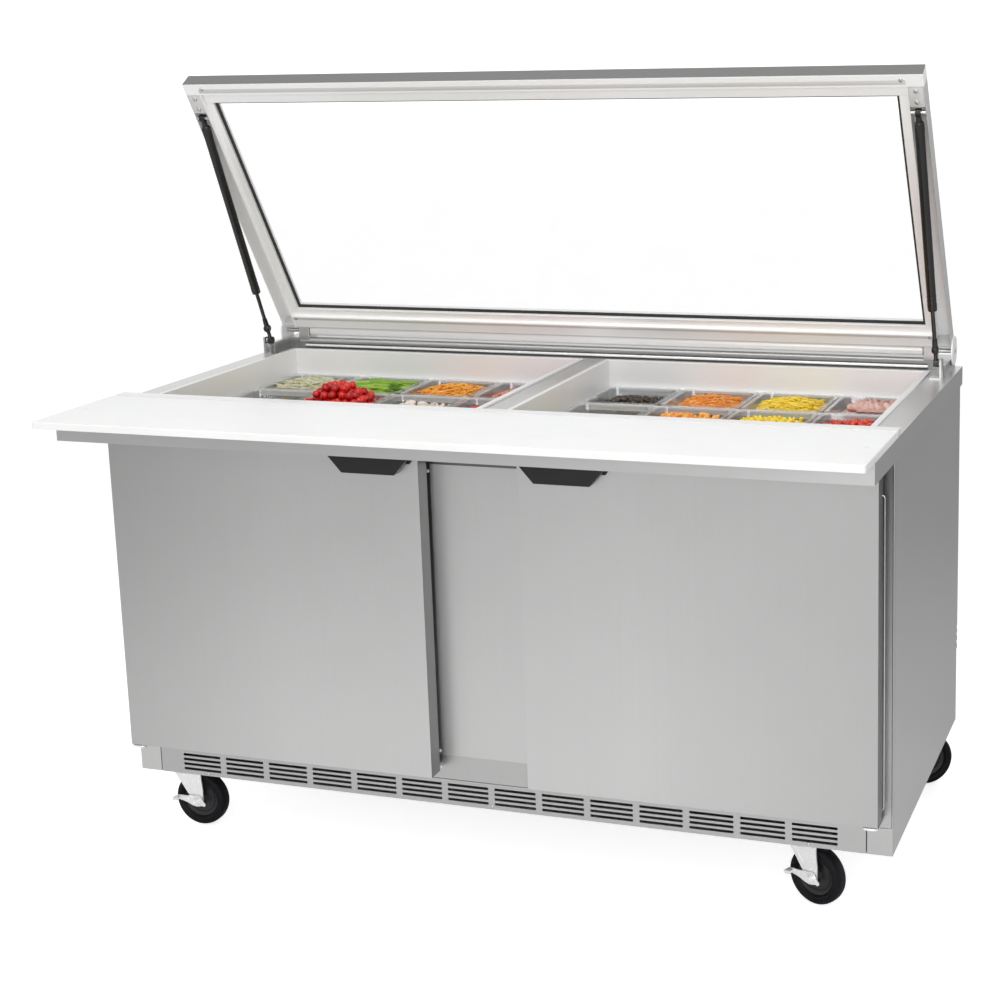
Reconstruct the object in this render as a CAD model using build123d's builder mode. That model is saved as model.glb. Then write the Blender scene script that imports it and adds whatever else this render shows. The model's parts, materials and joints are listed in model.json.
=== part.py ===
from build123d import *
import math
import os

# Two-door refrigerated sandwich prep table with an open glass lid over two wells of pans.
# Millimetres. X runs to the right, Y to the back, Z up from the floor.
# The origin is on the floor, midway between the sides and between the front and back extremes.

# ---- overall ---------------------------------------------------------------------------------
width = 1524.0  # across the steel top
half = width / 2
front = -410.0  # front face of the steel top's downturned edge
back = 481.0  # back face of the steel top
deck = 879.0  # upper face of the steel top
base = 131.0  # underside of the cabinet, above the casters
sheet = 2.0  # steel sheet
edge_drop = 37.0  # height of the downturned edge

# ---- cabinet ---------------------------------------------------------------------------------
side_x = 759.5  # outer face of a side panel
frame_y = -230.0  # front face of the cabinet behind the doors
cab_back = 462.0
grille_top = 182.0
mullion_half = 96.0
mullion_low, mullion_high = 231.0, 793.0
corner_width = 46.0  # folded corner beside the grille
lip = 20.0  # a side panel's folded rear edge
foam_x = 757.0  # outer face of the insulated walls
foam = 36.0  # insulated wall thickness
foam_gap = 0.5
floor_low, floor_high = 184.0, 231.0
hump_y, hump_z = 250.0, 456.0  # front and top of the machine housing inside the cabinet
frame_depth = 30.0
opening_in, opening_out, opening_low, opening_high = 122.0, 715.0, 239.0, 792.0  # door openings
slot_columns, slot_rows, slot_pitch_x, slot_pitch_z = 14, 4, 95.35, 9.7  # grille slots
slot_wide, slot_high, slot_middle = 82.5, 5.0, 156.9
cover_low, cover_deep = 334.0, 8.0  # raised upper part of the back, and how far it stands out
louvre_tops, louvre_high = (330.0, 314.0, 297.0), 12.0
louvre_slot, louvre_slot_high, louvre_pitch, louvre_count = 320.0, 7.0, 350.0, 4
floor_sheet, channel_half, channel_high = 3.0, 40.0, 18.0
vent_y, vent_long, vent_wide, vent_pitch, vent_count = 150.0, 500.0, 6.0, 14.0, 8

# ---- doors -----------------------------------------------------------------------------------
door_in, door_out = 96.0, 743.0  # distances from the centre line
door_low, door_high = 204.0, 825.0
door_front, door_back = -282.0, -245.0
seal_back = -231.2
seal_in, seal_out, seal_width = 104.0, 731.0, 14.0
pivot_x, pivot_y, pivot_r = 729.0, -265.0, 5.0
run = 0.06  # radial running clearance of a pin in its bore
handle_x, handle_top, handle_bottom = 187.0, 88.0, 52.5  # centre and half widths
handle_low, handle_deep, handle_wall = 785.0, 20.0, 3.0
flange_top, flange_bottom, flange_low, flange_deep = 92.0, 76.0, 803.0, 2.0

# ---- wells and pans --------------------------------------------------------------------------
well_in, well_out = 33.0, 704.0
well_front, well_rear = -176.0, 390.0
rim_height, rim_width = 4.0, 8.0
side_ledge, end_ledge = 9.0, 12.0
pan_level = 828.0  # underside of the pan rims
well_low = 712.0
pan_columns, pan_rows = 4, 3
pan_pitch_x, pan_pitch_y = 166.0, 183.0
pan_rim_x, pan_rim_y, pan_rim = 162.0, 176.0, 2.5
pan_x, pan_y, pan_depth, pan_wall = 148.0, 162.0, 100.0, 2.0
pan_draft = 3.0  # degrees
rim_round, pan_round = 14.0, 18.0
divider_half, divider_web = 6.0, 1.5

# ---- cutting board ---------------------------------------------------------------------------
board_front, board_rear, board_thick = -481.0, -227.0, 13.0
pin_x, pin_y, pin_r = 737.0, -352.0, 4.0
rail_front, rail_rear, rail_high = -219.0, -187.0, 12.5

# ---- lid -------------------------------------------------------------------------------------
hinge_y, hinge_z = 441.0, 917.0
lid_open = 57.43  # degrees above horizontal, as it stands
lid_half = 749.0
lid_front, lid_rear = -667.0, -18.0  # distances from the hinge axis along the lid
lid_under, lid_top = -12.5, 19.5
channel_in = 717.0  # inner face of a side rail's channel
deep_front = -640.0  # rear face of the front rail's deep part
glass_half, glass_front, glass_rear = 698.0, -614.0, -68.0
glass_low, glass_high = 6.0, 11.0
ledge_low, seal_low = -4.0, 2.0
rod_r, barrel_r, barrel_half = 5.0, 11.0, 689.0
disc_r, disc_thick = 30.0, 3.0
riser_x, riser_out, riser_high = 716.0, 747.0, 902.0
arm_front, knuckle_in, knuckle_high = 352.0, 691.0, 11.0

# ---- gas struts ------------------------------------------------------------------------------
strut_x = 733.0
strut_s, strut_n = -584.5, -11.0  # upper pivot, in the lid's own directions
strut_foot_y, strut_foot_z = 334.2, 910.2
tube_length, tube_r, strut_rod_r = 417.0, 9.0, 4.0
eye_r, eye_half, strut_pin_r = 8.0, 5.0, 4.0
neck_r, neck_end, bore_start, rod_start = 4.5, 34.0, 250.0, 340.0  # distances from the upper pivot
foot_half, foot_in, foot_out = 12.0, 722.0, 745.0

# ---- inside the cabinet ----------------------------------------------------------------------
shelf_z, shelf_front, shelf_rear = 490.0, -150.0, 238.0
shelf_in, shelf_out, shelf_wires, wire = 12.0, 708.0, 20, 4.0
pilaster_high, pilaster_half, clip_long = 700.0, 10.0, 21.0
tray_half, tray_front, tray_rear, tray_thick = 330.0, 300.0, 450.0, 4.0
compressor_x, compressor_y, compressor_r, compressor_high = -210.0, 372.0, 66.0, 170.0
coil_x, coil_half, coil_fronts, coil_deep = 220.0, 100.0, (315.0, 342.0), 20.0
shroud_y, shroud_high, shroud_deep, shroud_hole = 362.0, 192.0, 26.0, 88.0
motor_r, motor_rear, motor_rise = 26.0, 425.0, 104.0
hub_y, hub_r, blade_long, blade_wide, blades = 366.0, 20.0, 68.0, 34.0, 5
cooler_half, cooler_front, cooler_rear, cooler_high, cooler_sheet = 260.0, 330.0, 417.0, 640.0, 3.0
fin_half, fin_front, fin_rear, fin_low, fin_high, fin_pitch = 250.0, 370.0, 412.0, 480, 620, 12
cooler_fan_x, cooler_fan_z, cooler_fan_r = 120.0, 545.0, 62.0
control_half, control_low, control_high, knob_r, knob_z = 34.0, 330.0, 400.0, 16.0, 365.0

# ---- casters ---------------------------------------------------------------------------------
wheel_r, wheel_width, trail = 55.0, 30.0, 24.0
caster_front_y, caster_rear_y = -166.0, 412.0
axle_r, boss_r = 4.0, 6.0
plate_thick, crown_low, crown_high = 4.0, 118.0, 122.0
leg_in, leg_out = 17.0, 20.0
plate_x, plate_y, race_r, stem_r = 45.0, 38.0, 24.0, 6.0
crown_rear, crown_front, leg_rear = -27.0, 33.0, -50.0
tread_round, rim_deep, rim_edge, wheel_hub_r = 5.0, 5.0, 14.0, 14.0
nut_r, nut_thick = 8.0, 6.0
lever_thick, pedal_wide = 3.0, 14.0
casters = {  # swivel x, swivel y, direction in which the wheel trails
    "front_left": (-688.0, caster_front_y, 0.0),
    "front_right": (590.0, caster_front_y, -21.0),
    "rear_left": (-684.0, caster_rear_y, 147.0),
    "rear_right": (684.0, caster_rear_y, 33.0),
}

os.makedirs("parts", exist_ok=True)


def save(builder, name):
    builder.part.label = name
    export_step(builder.part, f"parts/{name}.step")


def span(side, a, b):
    """The X range from a to b on the left (-1) or right (1) side, in rising order."""
    return tuple(sorted((side * a, side * b)))


def block(x, y, z, plane=Plane.XY, mode=Mode.ADD, round_r=0.0):
    """A box between pairs of limits, in the directions of a plane, inside an open BuildPart."""
    with BuildSketch(plane.offset(z[0])) as outline:
        with Locations(((x[0] + x[1]) / 2, (y[0] + y[1]) / 2)):
            if round_r:
                RectangleRounded(x[1] - x[0], y[1] - y[0], round_r)
            else:
                Rectangle(x[1] - x[0], y[1] - y[0])
    extrude(outline.sketch, amount=z[1] - z[0], mode=mode)


def bar(start, end, radius, mode=Mode.ADD):
    """A round bar from one point to another, inside an open BuildPart."""
    a, b = Vector(start), Vector(end)
    with BuildSketch(Plane(origin=start, z_dir=b - a)) as section:
        Circle(radius)
    extrude(section.sketch, amount=(b - a).length, mode=mode)


sides = {"left": -1, "right": 1}

# ============================== cabinet =======================================================

for name, side in sides.items():
    with BuildPart() as side_panel:
        block(span(side, side_x - sheet, side_x), (frame_y, cab_back), (base, deck - sheet))
        corner = span(side, side_x - corner_width, side_x - sheet)
        block(corner, (frame_y, frame_y + sheet), (base, grille_top))
        rear_lip = span(side, side_x - lip, side_x - sheet)
        block(rear_lip, (cab_back - sheet, cab_back), (base, deck - sheet))
    save(side_panel, f"side_panel_{name}")

with BuildPart() as back_panel:
    back_x = side_x - lip - 1
    block((-back_x, back_x), (cab_back - sheet, cab_back), (base + 6, deck - sheet))
    cover_high = deck - edge_drop - 2
    cover_y = (cab_back, cab_back + cover_deep)
    block((-side_x, side_x), cover_y, (cover_low, cover_high))
    hollow_y = (cab_back, cab_back + cover_deep - sheet)
    hollow_z = (cover_low + sheet, cover_high - sheet)
    block((sheet - side_x, side_x - sheet), hollow_y, hollow_z, mode=Mode.SUBTRACT)
    for top_z in louvre_tops:
        block((-side_x, side_x), cover_y, (top_z - sheet, top_z))
        hood_y = (cab_back + cover_deep - sheet, cab_back + cover_deep)
        block((-side_x, side_x), hood_y, (top_z - louvre_high, top_z - sheet))
        louvre_face = Plane(origin=(0, cab_back, top_z - 7), x_dir=(-1, 0, 0), z_dir=(0, 1, 0))
        with BuildSketch(louvre_face):
            with GridLocations(louvre_pitch, 0, louvre_count, 1):
                SlotOverall(louvre_slot, louvre_slot_high)
        extrude(amount=-sheet, mode=Mode.SUBTRACT)
save(back_panel, "back_panel")

with BuildPart() as base_plate:
    floor_top = base + floor_sheet
    block((-foam_x, foam_x), (frame_y + 3, cab_back - 3), (base, floor_top))
    for channel_y in (caster_front_y, caster_rear_y):
        channel_run = (channel_y - channel_half, channel_y + channel_half)
        for x_edge in (-foam_x, foam_x - floor_sheet):
            block((x_edge, x_edge + floor_sheet), channel_run, (floor_top, base + channel_high))
    with BuildSketch(Plane.XY.offset(floor_top)):
        with Locations((0, vent_y)):
            with GridLocations(0, vent_pitch, 1, vent_count):
                SlotOverall(vent_long, vent_wide)
    extrude(amount=-floor_sheet, mode=Mode.SUBTRACT)
save(base_plate, "base_plate")

with BuildPart() as insulated_walls:
    inner_x = foam_x - foam
    rear_y = cab_back - 4
    lining_front = frame_y + 32
    for side in sides.values():
        block(span(side, inner_x, foam_x), (lining_front, rear_y), (floor_low, deck - 4))
    clear_x = inner_x - foam_gap
    block((-clear_x, clear_x), (lining_front, hump_y), (floor_low, floor_high))
    block((-clear_x, clear_x), (hump_y + foam_gap, hump_y + foam), (floor_low, hump_z - foam))
    block((-clear_x, clear_x), (hump_y + foam_gap, rear_y), (hump_z - foam + foam_gap, hump_z))
    block((-clear_x, clear_x), (rear_y - foam, rear_y), (hump_z + foam_gap, deck - 4))
save(insulated_walls, "insulated_walls")

with BuildPart() as face_frame:
    frame_high = deck - edge_drop - 2
    frame_half, frame_depth_y = side_x - 2.5, (frame_y, frame_y + frame_depth)
    block((-frame_half, frame_half), frame_depth_y, (grille_top + 1, frame_high))
    for side in sides.values():
        opening = span(side, opening_in, opening_out)
        block(opening, frame_depth_y, (opening_low, opening_high), mode=Mode.SUBTRACT)
save(face_frame, "face_frame")

with BuildPart() as mullion_panel:
    block((-mullion_half, mullion_half), (frame_y - 1.5, frame_y), (mullion_low, mullion_high))
save(mullion_panel, "mullion_panel")

with BuildPart() as front_grille:
    grille_half = side_x - corner_width - 1.5
    block((-grille_half, grille_half), (frame_y, frame_y + sheet), (base, grille_top))
    block((-grille_half, grille_half), (frame_y + sheet, frame_y + 24), (grille_top - sheet, grille_top))
    grille_face = Plane(origin=(0, frame_y, slot_middle), x_dir=(1, 0, 0), z_dir=(0, -1, 0))
    with BuildSketch(grille_face):
        with GridLocations(slot_pitch_x, slot_pitch_z, slot_columns, slot_rows):
            Rectangle(slot_wide, slot_high)
    extrude(amount=-sheet, mode=Mode.SUBTRACT)
save(front_grille, "front_grille")

# ============================== steel top and wells ===========================================

with BuildPart() as steel_top:
    block((-half, half), (front, back), (deck - sheet, deck))
    block((-half, half), (front, front + sheet), (deck - edge_drop, deck - sheet))
    block((-half, half), (front + sheet, front + 16), (deck - edge_drop, deck - edge_drop + sheet))
    block((-half, half), (back - sheet, back), (deck - edge_drop, deck - sheet))
    for side in sides.values():
        wall = span(side, half - sheet, half)
        block(wall, (front + sheet, back - sheet), (deck - edge_drop, deck - sheet))
        well = span(side, well_in, well_out)
        block(well, (well_front, well_rear), (deck - sheet, deck), mode=Mode.SUBTRACT)
        with BuildSketch(Plane.XY.offset(deck)):
            with Locations((side * pin_x, pin_y)):
                Circle(pin_r)
        extrude(amount=board_thick - 2)
save(steel_top, "steel_top")

pan_centre_x = (well_in + well_out) / 2
pan_centre_y = (well_front + well_rear) / 2

for name, side in sides.items():
    with BuildPart() as well_liner:
        gap = 0.5
        outer = span(side, well_in + gap, well_out - gap)
        inner = (outer[0] + sheet, outer[1] - sheet)
        block(
            (outer[0] - rim_width, outer[1] + rim_width),
            (well_front - rim_width, well_rear + rim_width),
            (deck, deck + rim_height),
        )
        block(outer, (well_front + gap, well_rear - gap), (well_low, deck))
        inner_y = (well_front + gap + sheet, well_rear - gap - sheet)
        block(inner, inner_y, (pan_level - 3, deck + rim_height), mode=Mode.SUBTRACT)
        throat = (inner[0] + side_ledge, inner[1] - side_ledge)
        throat_y = (inner_y[0] + end_ledge, inner_y[1] - end_ledge)
        block(throat, throat_y, (well_low, pan_level - 3), mode=Mode.SUBTRACT)
        block(inner, inner_y, (well_low, pan_level - 6), mode=Mode.SUBTRACT)
        for end in ((inner_y[0], throat_y[0]), (throat_y[1], inner_y[1])):
            block(throat, end, (pan_level - 3, pan_level))
    save(well_liner, f"well_liner_{name}")

with BuildPart() as pan_divider_bars:
    for side in sides.values():
        low, high = span(side, well_in + 4, well_out - 4)
        for row in range(1, pan_rows):
            y = pan_centre_y + (row - pan_rows / 2) * pan_pitch_y
            flange = (y - divider_half, y + divider_half)
            block((low, high), flange, (pan_level - 3, pan_level))
            web_y = (y - divider_web, y + divider_web)
            block((low + 14, high - 14), web_y, (pan_level - 12, pan_level - 3))
save(pan_divider_bars, "pan_divider_bars")

row_names = ("front", "middle", "rear")
for name, side in sides.items():
    for row, row_name in enumerate(row_names):
        row_y = pan_centre_y + (row - 1) * pan_pitch_y
        centre = (side * pan_centre_x, row_y)
        with BuildPart() as pans:
            with BuildSketch(Plane.XY.offset(pan_level + pan_rim)):
                with Locations(centre), GridLocations(pan_pitch_x, 0, pan_columns, 1):
                    RectangleRounded(pan_rim_x, pan_rim_y, rim_round)
            extrude(amount=-pan_rim)
            with BuildSketch(Plane.XY.offset(pan_level)):
                with Locations(centre), GridLocations(pan_pitch_x, 0, pan_columns, 1):
                    RectangleRounded(pan_x, pan_y, pan_round)
            extrude(amount=-pan_depth, taper=pan_draft)
            with BuildSketch(Plane.XY.offset(pan_level + pan_rim)):
                with Locations(centre), GridLocations(pan_pitch_x, 0, pan_columns, 1):
                    inner_round = pan_round - pan_wall
                    RectangleRounded(pan_x - 2 * pan_wall, pan_y - 2 * pan_wall, inner_round)
            extrude(amount=-(pan_depth + pan_rim - pan_wall), taper=pan_draft, mode=Mode.SUBTRACT)
        save(pans, f"pans_{name}_{row_name}")

# ============================== cutting board =================================================

with BuildPart() as cutting_board:
    block((-half, half), (board_front, board_rear), (deck, deck + board_thick))
    fillet(cutting_board.edges().filter_by(Axis.Z), 4)
    fillet(cutting_board.faces().sort_by(Axis.Z)[-1].edges(), 2)
    for side in sides.values():
        pin_foot, pin_head = (side * pin_x, pin_y, deck), (side * pin_x, pin_y, deck + board_thick)
        bar(pin_foot, pin_head, pin_r + 0.5, Mode.SUBTRACT)
save(cutting_board, "cutting_board")

with BuildPart() as board_rail:
    block((-half, half), (rail_front, rail_rear), (deck, deck + rail_high))
    fillet(board_rail.edges().filter_by(Axis.X).group_by(Axis.Z)[-1], 3)
save(board_rail, "board_rail")

# ============================== lid and its hinge =============================================

tilt = math.radians(lid_open)
lid_plane = Plane(
    origin=(0, hinge_y, hinge_z), x_dir=(1, 0, 0), z_dir=(0, math.sin(tilt), math.cos(tilt))
)

with BuildPart() as hinge_riser:
    block((-riser_x, riser_x), (hinge_y - 10, back), (deck, riser_high))
    fillet(hinge_riser.edges().filter_by(Axis.X).group_by(Axis.Y)[0].group_by(Axis.Z)[-1], 9)
    for side in sides.values():
        block(span(side, riser_x, riser_out), (hinge_y - 14, back), (deck, riser_high))
        block(span(side, riser_out - 13, riser_out), (arm_front, hinge_y), (deck, riser_high))
        knuckle_z = (riser_high - 4, hinge_z + knuckle_high)
        block(span(side, knuckle_in, riser_x), (hinge_y - 11, hinge_y + 25), knuckle_z)
        bore = span(side, knuckle_in - 1, riser_x + 1)
        bar((bore[0], hinge_y, hinge_z), (bore[1], hinge_y, hinge_z), rod_r + 0.02, Mode.SUBTRACT)
save(hinge_riser, "hinge_riser")

with BuildPart() as hinge_rod:
    rod_x = lid_half + disc_thick + 1
    bar((-rod_x, hinge_y, hinge_z), (rod_x, hinge_y, hinge_z), rod_r)
save(hinge_rod, "hinge_rod")

with BuildPart() as lid_front_rail:
    block((-lid_half, lid_half), (lid_front, deep_front), (lid_under, lid_top), lid_plane)
    shell_x = lid_half - 3
    hollow = (lid_front + 3, deep_front - 3)
    block((-shell_x, shell_x), hollow, (lid_under + 3, lid_top - 3), lid_plane, Mode.SUBTRACT)
    ledge_x = channel_in - 0.2
    ledge_end = glass_front - 2
    block((-ledge_x, ledge_x), (deep_front, ledge_end), (ledge_low, glass_low), lid_plane)
    block((-ledge_x, ledge_x), (deep_front, ledge_end), (glass_high, lid_top), lid_plane)
save(lid_front_rail, "lid_front_rail")

with BuildPart() as lid_side_rails:
    for side in sides.values():
        length = (deep_front, lid_rear)
        block(span(side, lid_half - sheet, lid_half), length, (lid_under, lid_top), lid_plane)
        block(span(side, channel_in, channel_in + sheet), length, (lid_under, lid_top), lid_plane)
        web = span(side, channel_in + sheet, lid_half - sheet)
        block(web, length, (lid_top - sheet, lid_top), lid_plane)
        ledge = span(side, glass_half + 2, channel_in)
        ledge_run = (glass_front - 1.8, glass_rear + 1.8)
        block(ledge, ledge_run, (ledge_low, glass_low), lid_plane)
        block(ledge, ledge_run, (glass_high, lid_top), lid_plane)
save(lid_side_rails, "lid_side_rails")

with BuildPart() as lid_rear_rail:
    rear_start = glass_rear + 2
    block((-ledge_x, ledge_x), (rear_start, lid_rear), (lid_under, lid_top), lid_plane)
    step = (lid_under, ledge_low)
    block((-ledge_x, ledge_x), (rear_start, rear_start + 16), step, lid_plane, Mode.SUBTRACT)
    slot_n = (glass_low, glass_high)
    block((-ledge_x, ledge_x), (rear_start, rear_start + 10), slot_n, lid_plane, Mode.SUBTRACT)
    block((-barrel_half, barrel_half), (lid_rear - 1, -8), (-6, 6), lid_plane)
    bar((-barrel_half, hinge_y, hinge_z), (barrel_half, hinge_y, hinge_z), barrel_r)
    bar((-barrel_half, hinge_y, hinge_z), (barrel_half, hinge_y, hinge_z), rod_r + run, Mode.SUBTRACT)
save(lid_rear_rail, "lid_rear_rail")

with BuildPart() as lid_glass:
    pane_x, pane_s = glass_half + 12, (glass_front - 12, glass_rear + 10)
    block((-pane_x, pane_x), pane_s, (glass_low + 0.5, glass_high - 0.5), lid_plane)
save(lid_glass, "lid_glass")

with BuildPart() as lid_glass_gasket:
    rim_x, rim_s = glass_half + 1.9, (glass_front - 1.9, glass_rear + 1.9)
    rim_n = (seal_low, glass_low + 0.4)
    block((-rim_x, rim_x), rim_s, rim_n, lid_plane)
    open_x, open_s = glass_half - 3, (glass_front + 3, glass_rear - 3)
    block((-open_x, open_x), open_s, rim_n, lid_plane, Mode.SUBTRACT)
save(lid_glass_gasket, "lid_glass_gasket")

with BuildPart() as lid_hinge_discs:
    for side in sides.values():
        near, far = side * lid_half, side * (lid_half + disc_thick)
        bar((near, hinge_y, hinge_z), (far, hinge_y, hinge_z), disc_r)
        bar((near, hinge_y, hinge_z), (far, hinge_y, hinge_z), rod_r + run, Mode.SUBTRACT)
save(lid_hinge_discs, "lid_hinge_discs")

# ============================== gas struts ====================================================

strut_top = lid_plane.from_local_coords(Vector(0, strut_s, strut_n))
strut_foot = Vector(0, strut_foot_y, strut_foot_z)
strut_dir = (strut_foot - strut_top).normalized()
strut_reach = (strut_foot - strut_top).length


def along(side, distance):
    """The point on a strut's line at a distance from its upper pivot."""
    point = strut_top + strut_dir * distance
    return (side * strut_x, point.Y, point.Z)


def eye(side, distance):
    """A strut's end eye, inside an open BuildPart."""
    _, y, z = along(side, distance)
    near, far = strut_x - eye_half, strut_x + eye_half
    bar((side * near, y, z), (side * far, y, z), eye_r)


with BuildPart() as strut_lid_pins:
    for side in sides.values():
        near, far = side * (channel_in + sheet), side * (lid_half - sheet)
        bar((near, strut_top.Y, strut_top.Z), (far, strut_top.Y, strut_top.Z), strut_pin_r)
save(strut_lid_pins, "strut_lid_pins")

with BuildPart() as strut_deck_brackets:
    for side in sides.values():
        foot_y = (strut_foot_y - foot_half, strut_foot_y + foot_half)
        block(span(side, foot_in, foot_out), foot_y, (deck, deck + 3))
        block(span(side, foot_out - 4, foot_out), foot_y, (deck + 3, strut_foot_z + 8))
        near, far = side * (foot_out - 6), side * (foot_out - 4)
        bar((near, strut_foot_y, strut_foot_z), (far, strut_foot_y, strut_foot_z), 6)
save(strut_deck_brackets, "strut_deck_brackets")

for name, side in sides.items():
    with BuildPart() as strut_tube:
        eye(side, 0)
        bar(along(side, 5), along(side, neck_end), neck_r)
        bar(along(side, neck_end - 4), along(side, tube_length), tube_r)
        pin_span = (side * (strut_x - eye_half - 1), side * (strut_x + eye_half + 1))
        a = (pin_span[0], strut_top.Y, strut_top.Z)
        b = (pin_span[1], strut_top.Y, strut_top.Z)
        bar(a, b, strut_pin_r + run, Mode.SUBTRACT)
        bore_end = along(side, tube_length + 1)
        bar(along(side, bore_start), bore_end, strut_rod_r + run, Mode.SUBTRACT)
    save(strut_tube, f"strut_tube_{name}")

    with BuildPart() as strut_rod:
        eye(side, strut_reach)
        bar(along(side, rod_start), along(side, strut_reach - 5), strut_rod_r)
    save(strut_rod, f"strut_rod_{name}")

# ============================== doors =========================================================

for name, side in sides.items():
    door_x = span(side, door_in, door_out)
    pin_low = (side * pivot_x, pivot_y, door_low - 1)
    pin_high = (side * pivot_x, pivot_y, door_high + 1)
    pin_depth = 21
    low_end = (side * pivot_x, pivot_y, door_low + pin_depth)
    high_end = (side * pivot_x, pivot_y, door_high - pin_depth)
    with BuildPart() as door_shell:
        block(door_x, (door_front, door_back), (door_low, door_high))
        hollow_x = (door_x[0] + sheet, door_x[1] - sheet)
        hollow_z = (door_low + sheet, door_high - sheet)
        block(hollow_x, (door_front + sheet, door_back), hollow_z, mode=Mode.SUBTRACT)
        bar(pin_low, low_end, pivot_r + run, Mode.SUBTRACT)
        bar(pin_high, high_end, pivot_r + run, Mode.SUBTRACT)
    save(door_shell, f"door_shell_{name}")

    with BuildPart() as door_liner:
        block(hollow_x, (door_front + sheet, door_back), hollow_z)
        panel_x = span(side, seal_in + 24, seal_out - 24)
        block(panel_x, (door_back, door_back + 8), (door_low + 40, door_high - 40))
        bar(pin_low, low_end, pivot_r + run, Mode.SUBTRACT)
        bar(pin_high, high_end, pivot_r + run, Mode.SUBTRACT)
    save(door_liner, f"door_liner_{name}")

    with BuildPart() as door_gasket:
        seal_x = span(side, seal_in, seal_out)
        seal_z = (door_low + 8, door_high - 8)
        block(seal_x, (door_back, seal_back), seal_z)
        inside_x = (seal_x[0] + seal_width, seal_x[1] - seal_width)
        inside_z = (seal_z[0] + seal_width, seal_z[1] - seal_width)
        block(inside_x, (door_back, seal_back), inside_z, mode=Mode.SUBTRACT)
    save(door_gasket, f"door_gasket_{name}")

    with BuildPart() as door_handle:
        handle_face = Plane(origin=(side * handle_x, door_front, 0), x_dir=(1, 0, 0), z_dir=(0, -1, 0))
        for inset, mode in ((0.0, Mode.ADD), (handle_wall, Mode.SUBTRACT)):
            top_z = door_high
            low_z = handle_low + inset
            with BuildSketch(handle_face):
                with BuildLine():
                    Polyline(
                        (-handle_top + inset, top_z),
                        (-handle_bottom + inset, low_z),
                        (handle_bottom - inset, low_z),
                        (handle_top - inset, top_z),
                        close=True,
                    )
                make_face()
            extrude(amount=handle_deep - inset, mode=mode)
        with BuildSketch(handle_face):
            with BuildLine():
                Polyline(
                    (-flange_top, door_high),
                    (-flange_bottom, flange_low),
                    (flange_bottom, flange_low),
                    (flange_top, door_high),
                    close=True,
                )
            make_face()
        extrude(amount=flange_deep)
    save(door_handle, f"door_handle_{name}")

with BuildPart() as door_hinge_brackets:
    for side in sides.values():
        strap = span(side, pivot_x - 14, pivot_x + 14)
        strap_y = (pivot_y - 13, frame_y)
        low_strap = (door_low - 5.5, door_low - 1.5)
        high_strap = (door_high + 1.5, door_high + 5.5)
        for level, start, end in (
            (low_strap, door_low - 5.5, door_low + 18),
            (high_strap, door_high + 5.5, door_high - 18),
        ):
            block(strap, strap_y, level)
            bar((side * pivot_x, pivot_y, start), (side * pivot_x, pivot_y, end), pivot_r)
save(door_hinge_brackets, "door_hinge_brackets")

# ============================== inside the cabinet ============================================

with BuildPart() as wire_shelves:
    for side in sides.values():
        centre = (side * (shelf_in + shelf_out) / 2, (shelf_front + shelf_rear) / 2)
        shelf_x, shelf_y = shelf_out - shelf_in, shelf_rear - shelf_front
        with BuildSketch(Plane.XY.offset(shelf_z - wire)):
            with Locations(centre):
                RectangleRounded(shelf_x, shelf_y, 8)
                RectangleRounded(shelf_x - 4 * wire, shelf_y - 4 * wire, 4, mode=Mode.SUBTRACT)
        extrude(amount=2 * wire)
        with BuildSketch(Plane.XY.offset(shelf_z)):
            with Locations(centre), GridLocations(shelf_x / shelf_wires, 0, shelf_wires - 1, 1):
                Rectangle(wire, shelf_y - 2 * wire)
        extrude(amount=wire)
save(wire_shelves, "wire_shelves")

with BuildPart() as shelf_supports:
    clip_z = (shelf_z - 7.2, shelf_z - 4.2)
    wall = foam_x - foam
    for side in sides.values():
        for y in (shelf_front + 30, shelf_rear - 30):
            pilaster_y = (y - pilaster_half, y + pilaster_half)
            block(span(side, wall - 3, wall), pilaster_y, (floor_high + 4, pilaster_high))
            block(span(side, wall - 3 - clip_long, wall - 3), (y - 8, y + 8), clip_z)
    front_y, rear_y = frame_y + 32, hump_y - 5
    block((-12, 12), (front_y, front_y + 4), (floor_high + 0.5, pilaster_high))
    block((-20, 20), (front_y + 4, shelf_front + 8), clip_z)
    block((-12, 12), (rear_y, rear_y + 4), (floor_high + 0.5, hump_z - 10))
    block((-20, 20), (shelf_rear - 8, rear_y), clip_z)
save(shelf_supports, "shelf_supports")

tray = base + floor_sheet + 0.5
fan_z = tray + motor_rise
with BuildPart() as condensing_unit:
    block((-tray_half, tray_half), (tray_front, tray_rear), (tray, tray + tray_thick))
    foot, shell = (compressor_x, compressor_y, tray + tray_thick), compressor_r / 2 + 1
    bar(foot, (compressor_x, compressor_y, tray + 30), shell)
    top = (compressor_x, compressor_y, tray + compressor_high)
    bar((compressor_x, compressor_y, tray + 30), top, compressor_r)
    coil_span = (coil_x - coil_half, coil_x + coil_half)
    for coil_front in coil_fronts:
        coil_z = (tray + tray_thick, tray + 2 * coil_half)
        block(coil_span, (coil_front, coil_front + coil_deep), coil_z)
    with BuildSketch(Plane(origin=(coil_x, shroud_y, fan_z), x_dir=(1, 0, 0), z_dir=(0, 1, 0))):
        Rectangle(2 * coil_half, shroud_high)
        Circle(shroud_hole, mode=Mode.SUBTRACT)
    extrude(amount=shroud_deep)
    strut_y = shroud_y + shroud_deep - 2
    bar((coil_span[0] + 6, strut_y, fan_z), (coil_span[1] - 6, strut_y, fan_z), 4)
    bar((coil_x, strut_y, fan_z), (coil_x, motor_rear, fan_z), motor_r)
    bar((coil_x, hub_y + 1, fan_z), (coil_x, strut_y, fan_z), 4)
save(condensing_unit, "condensing_unit")

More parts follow.
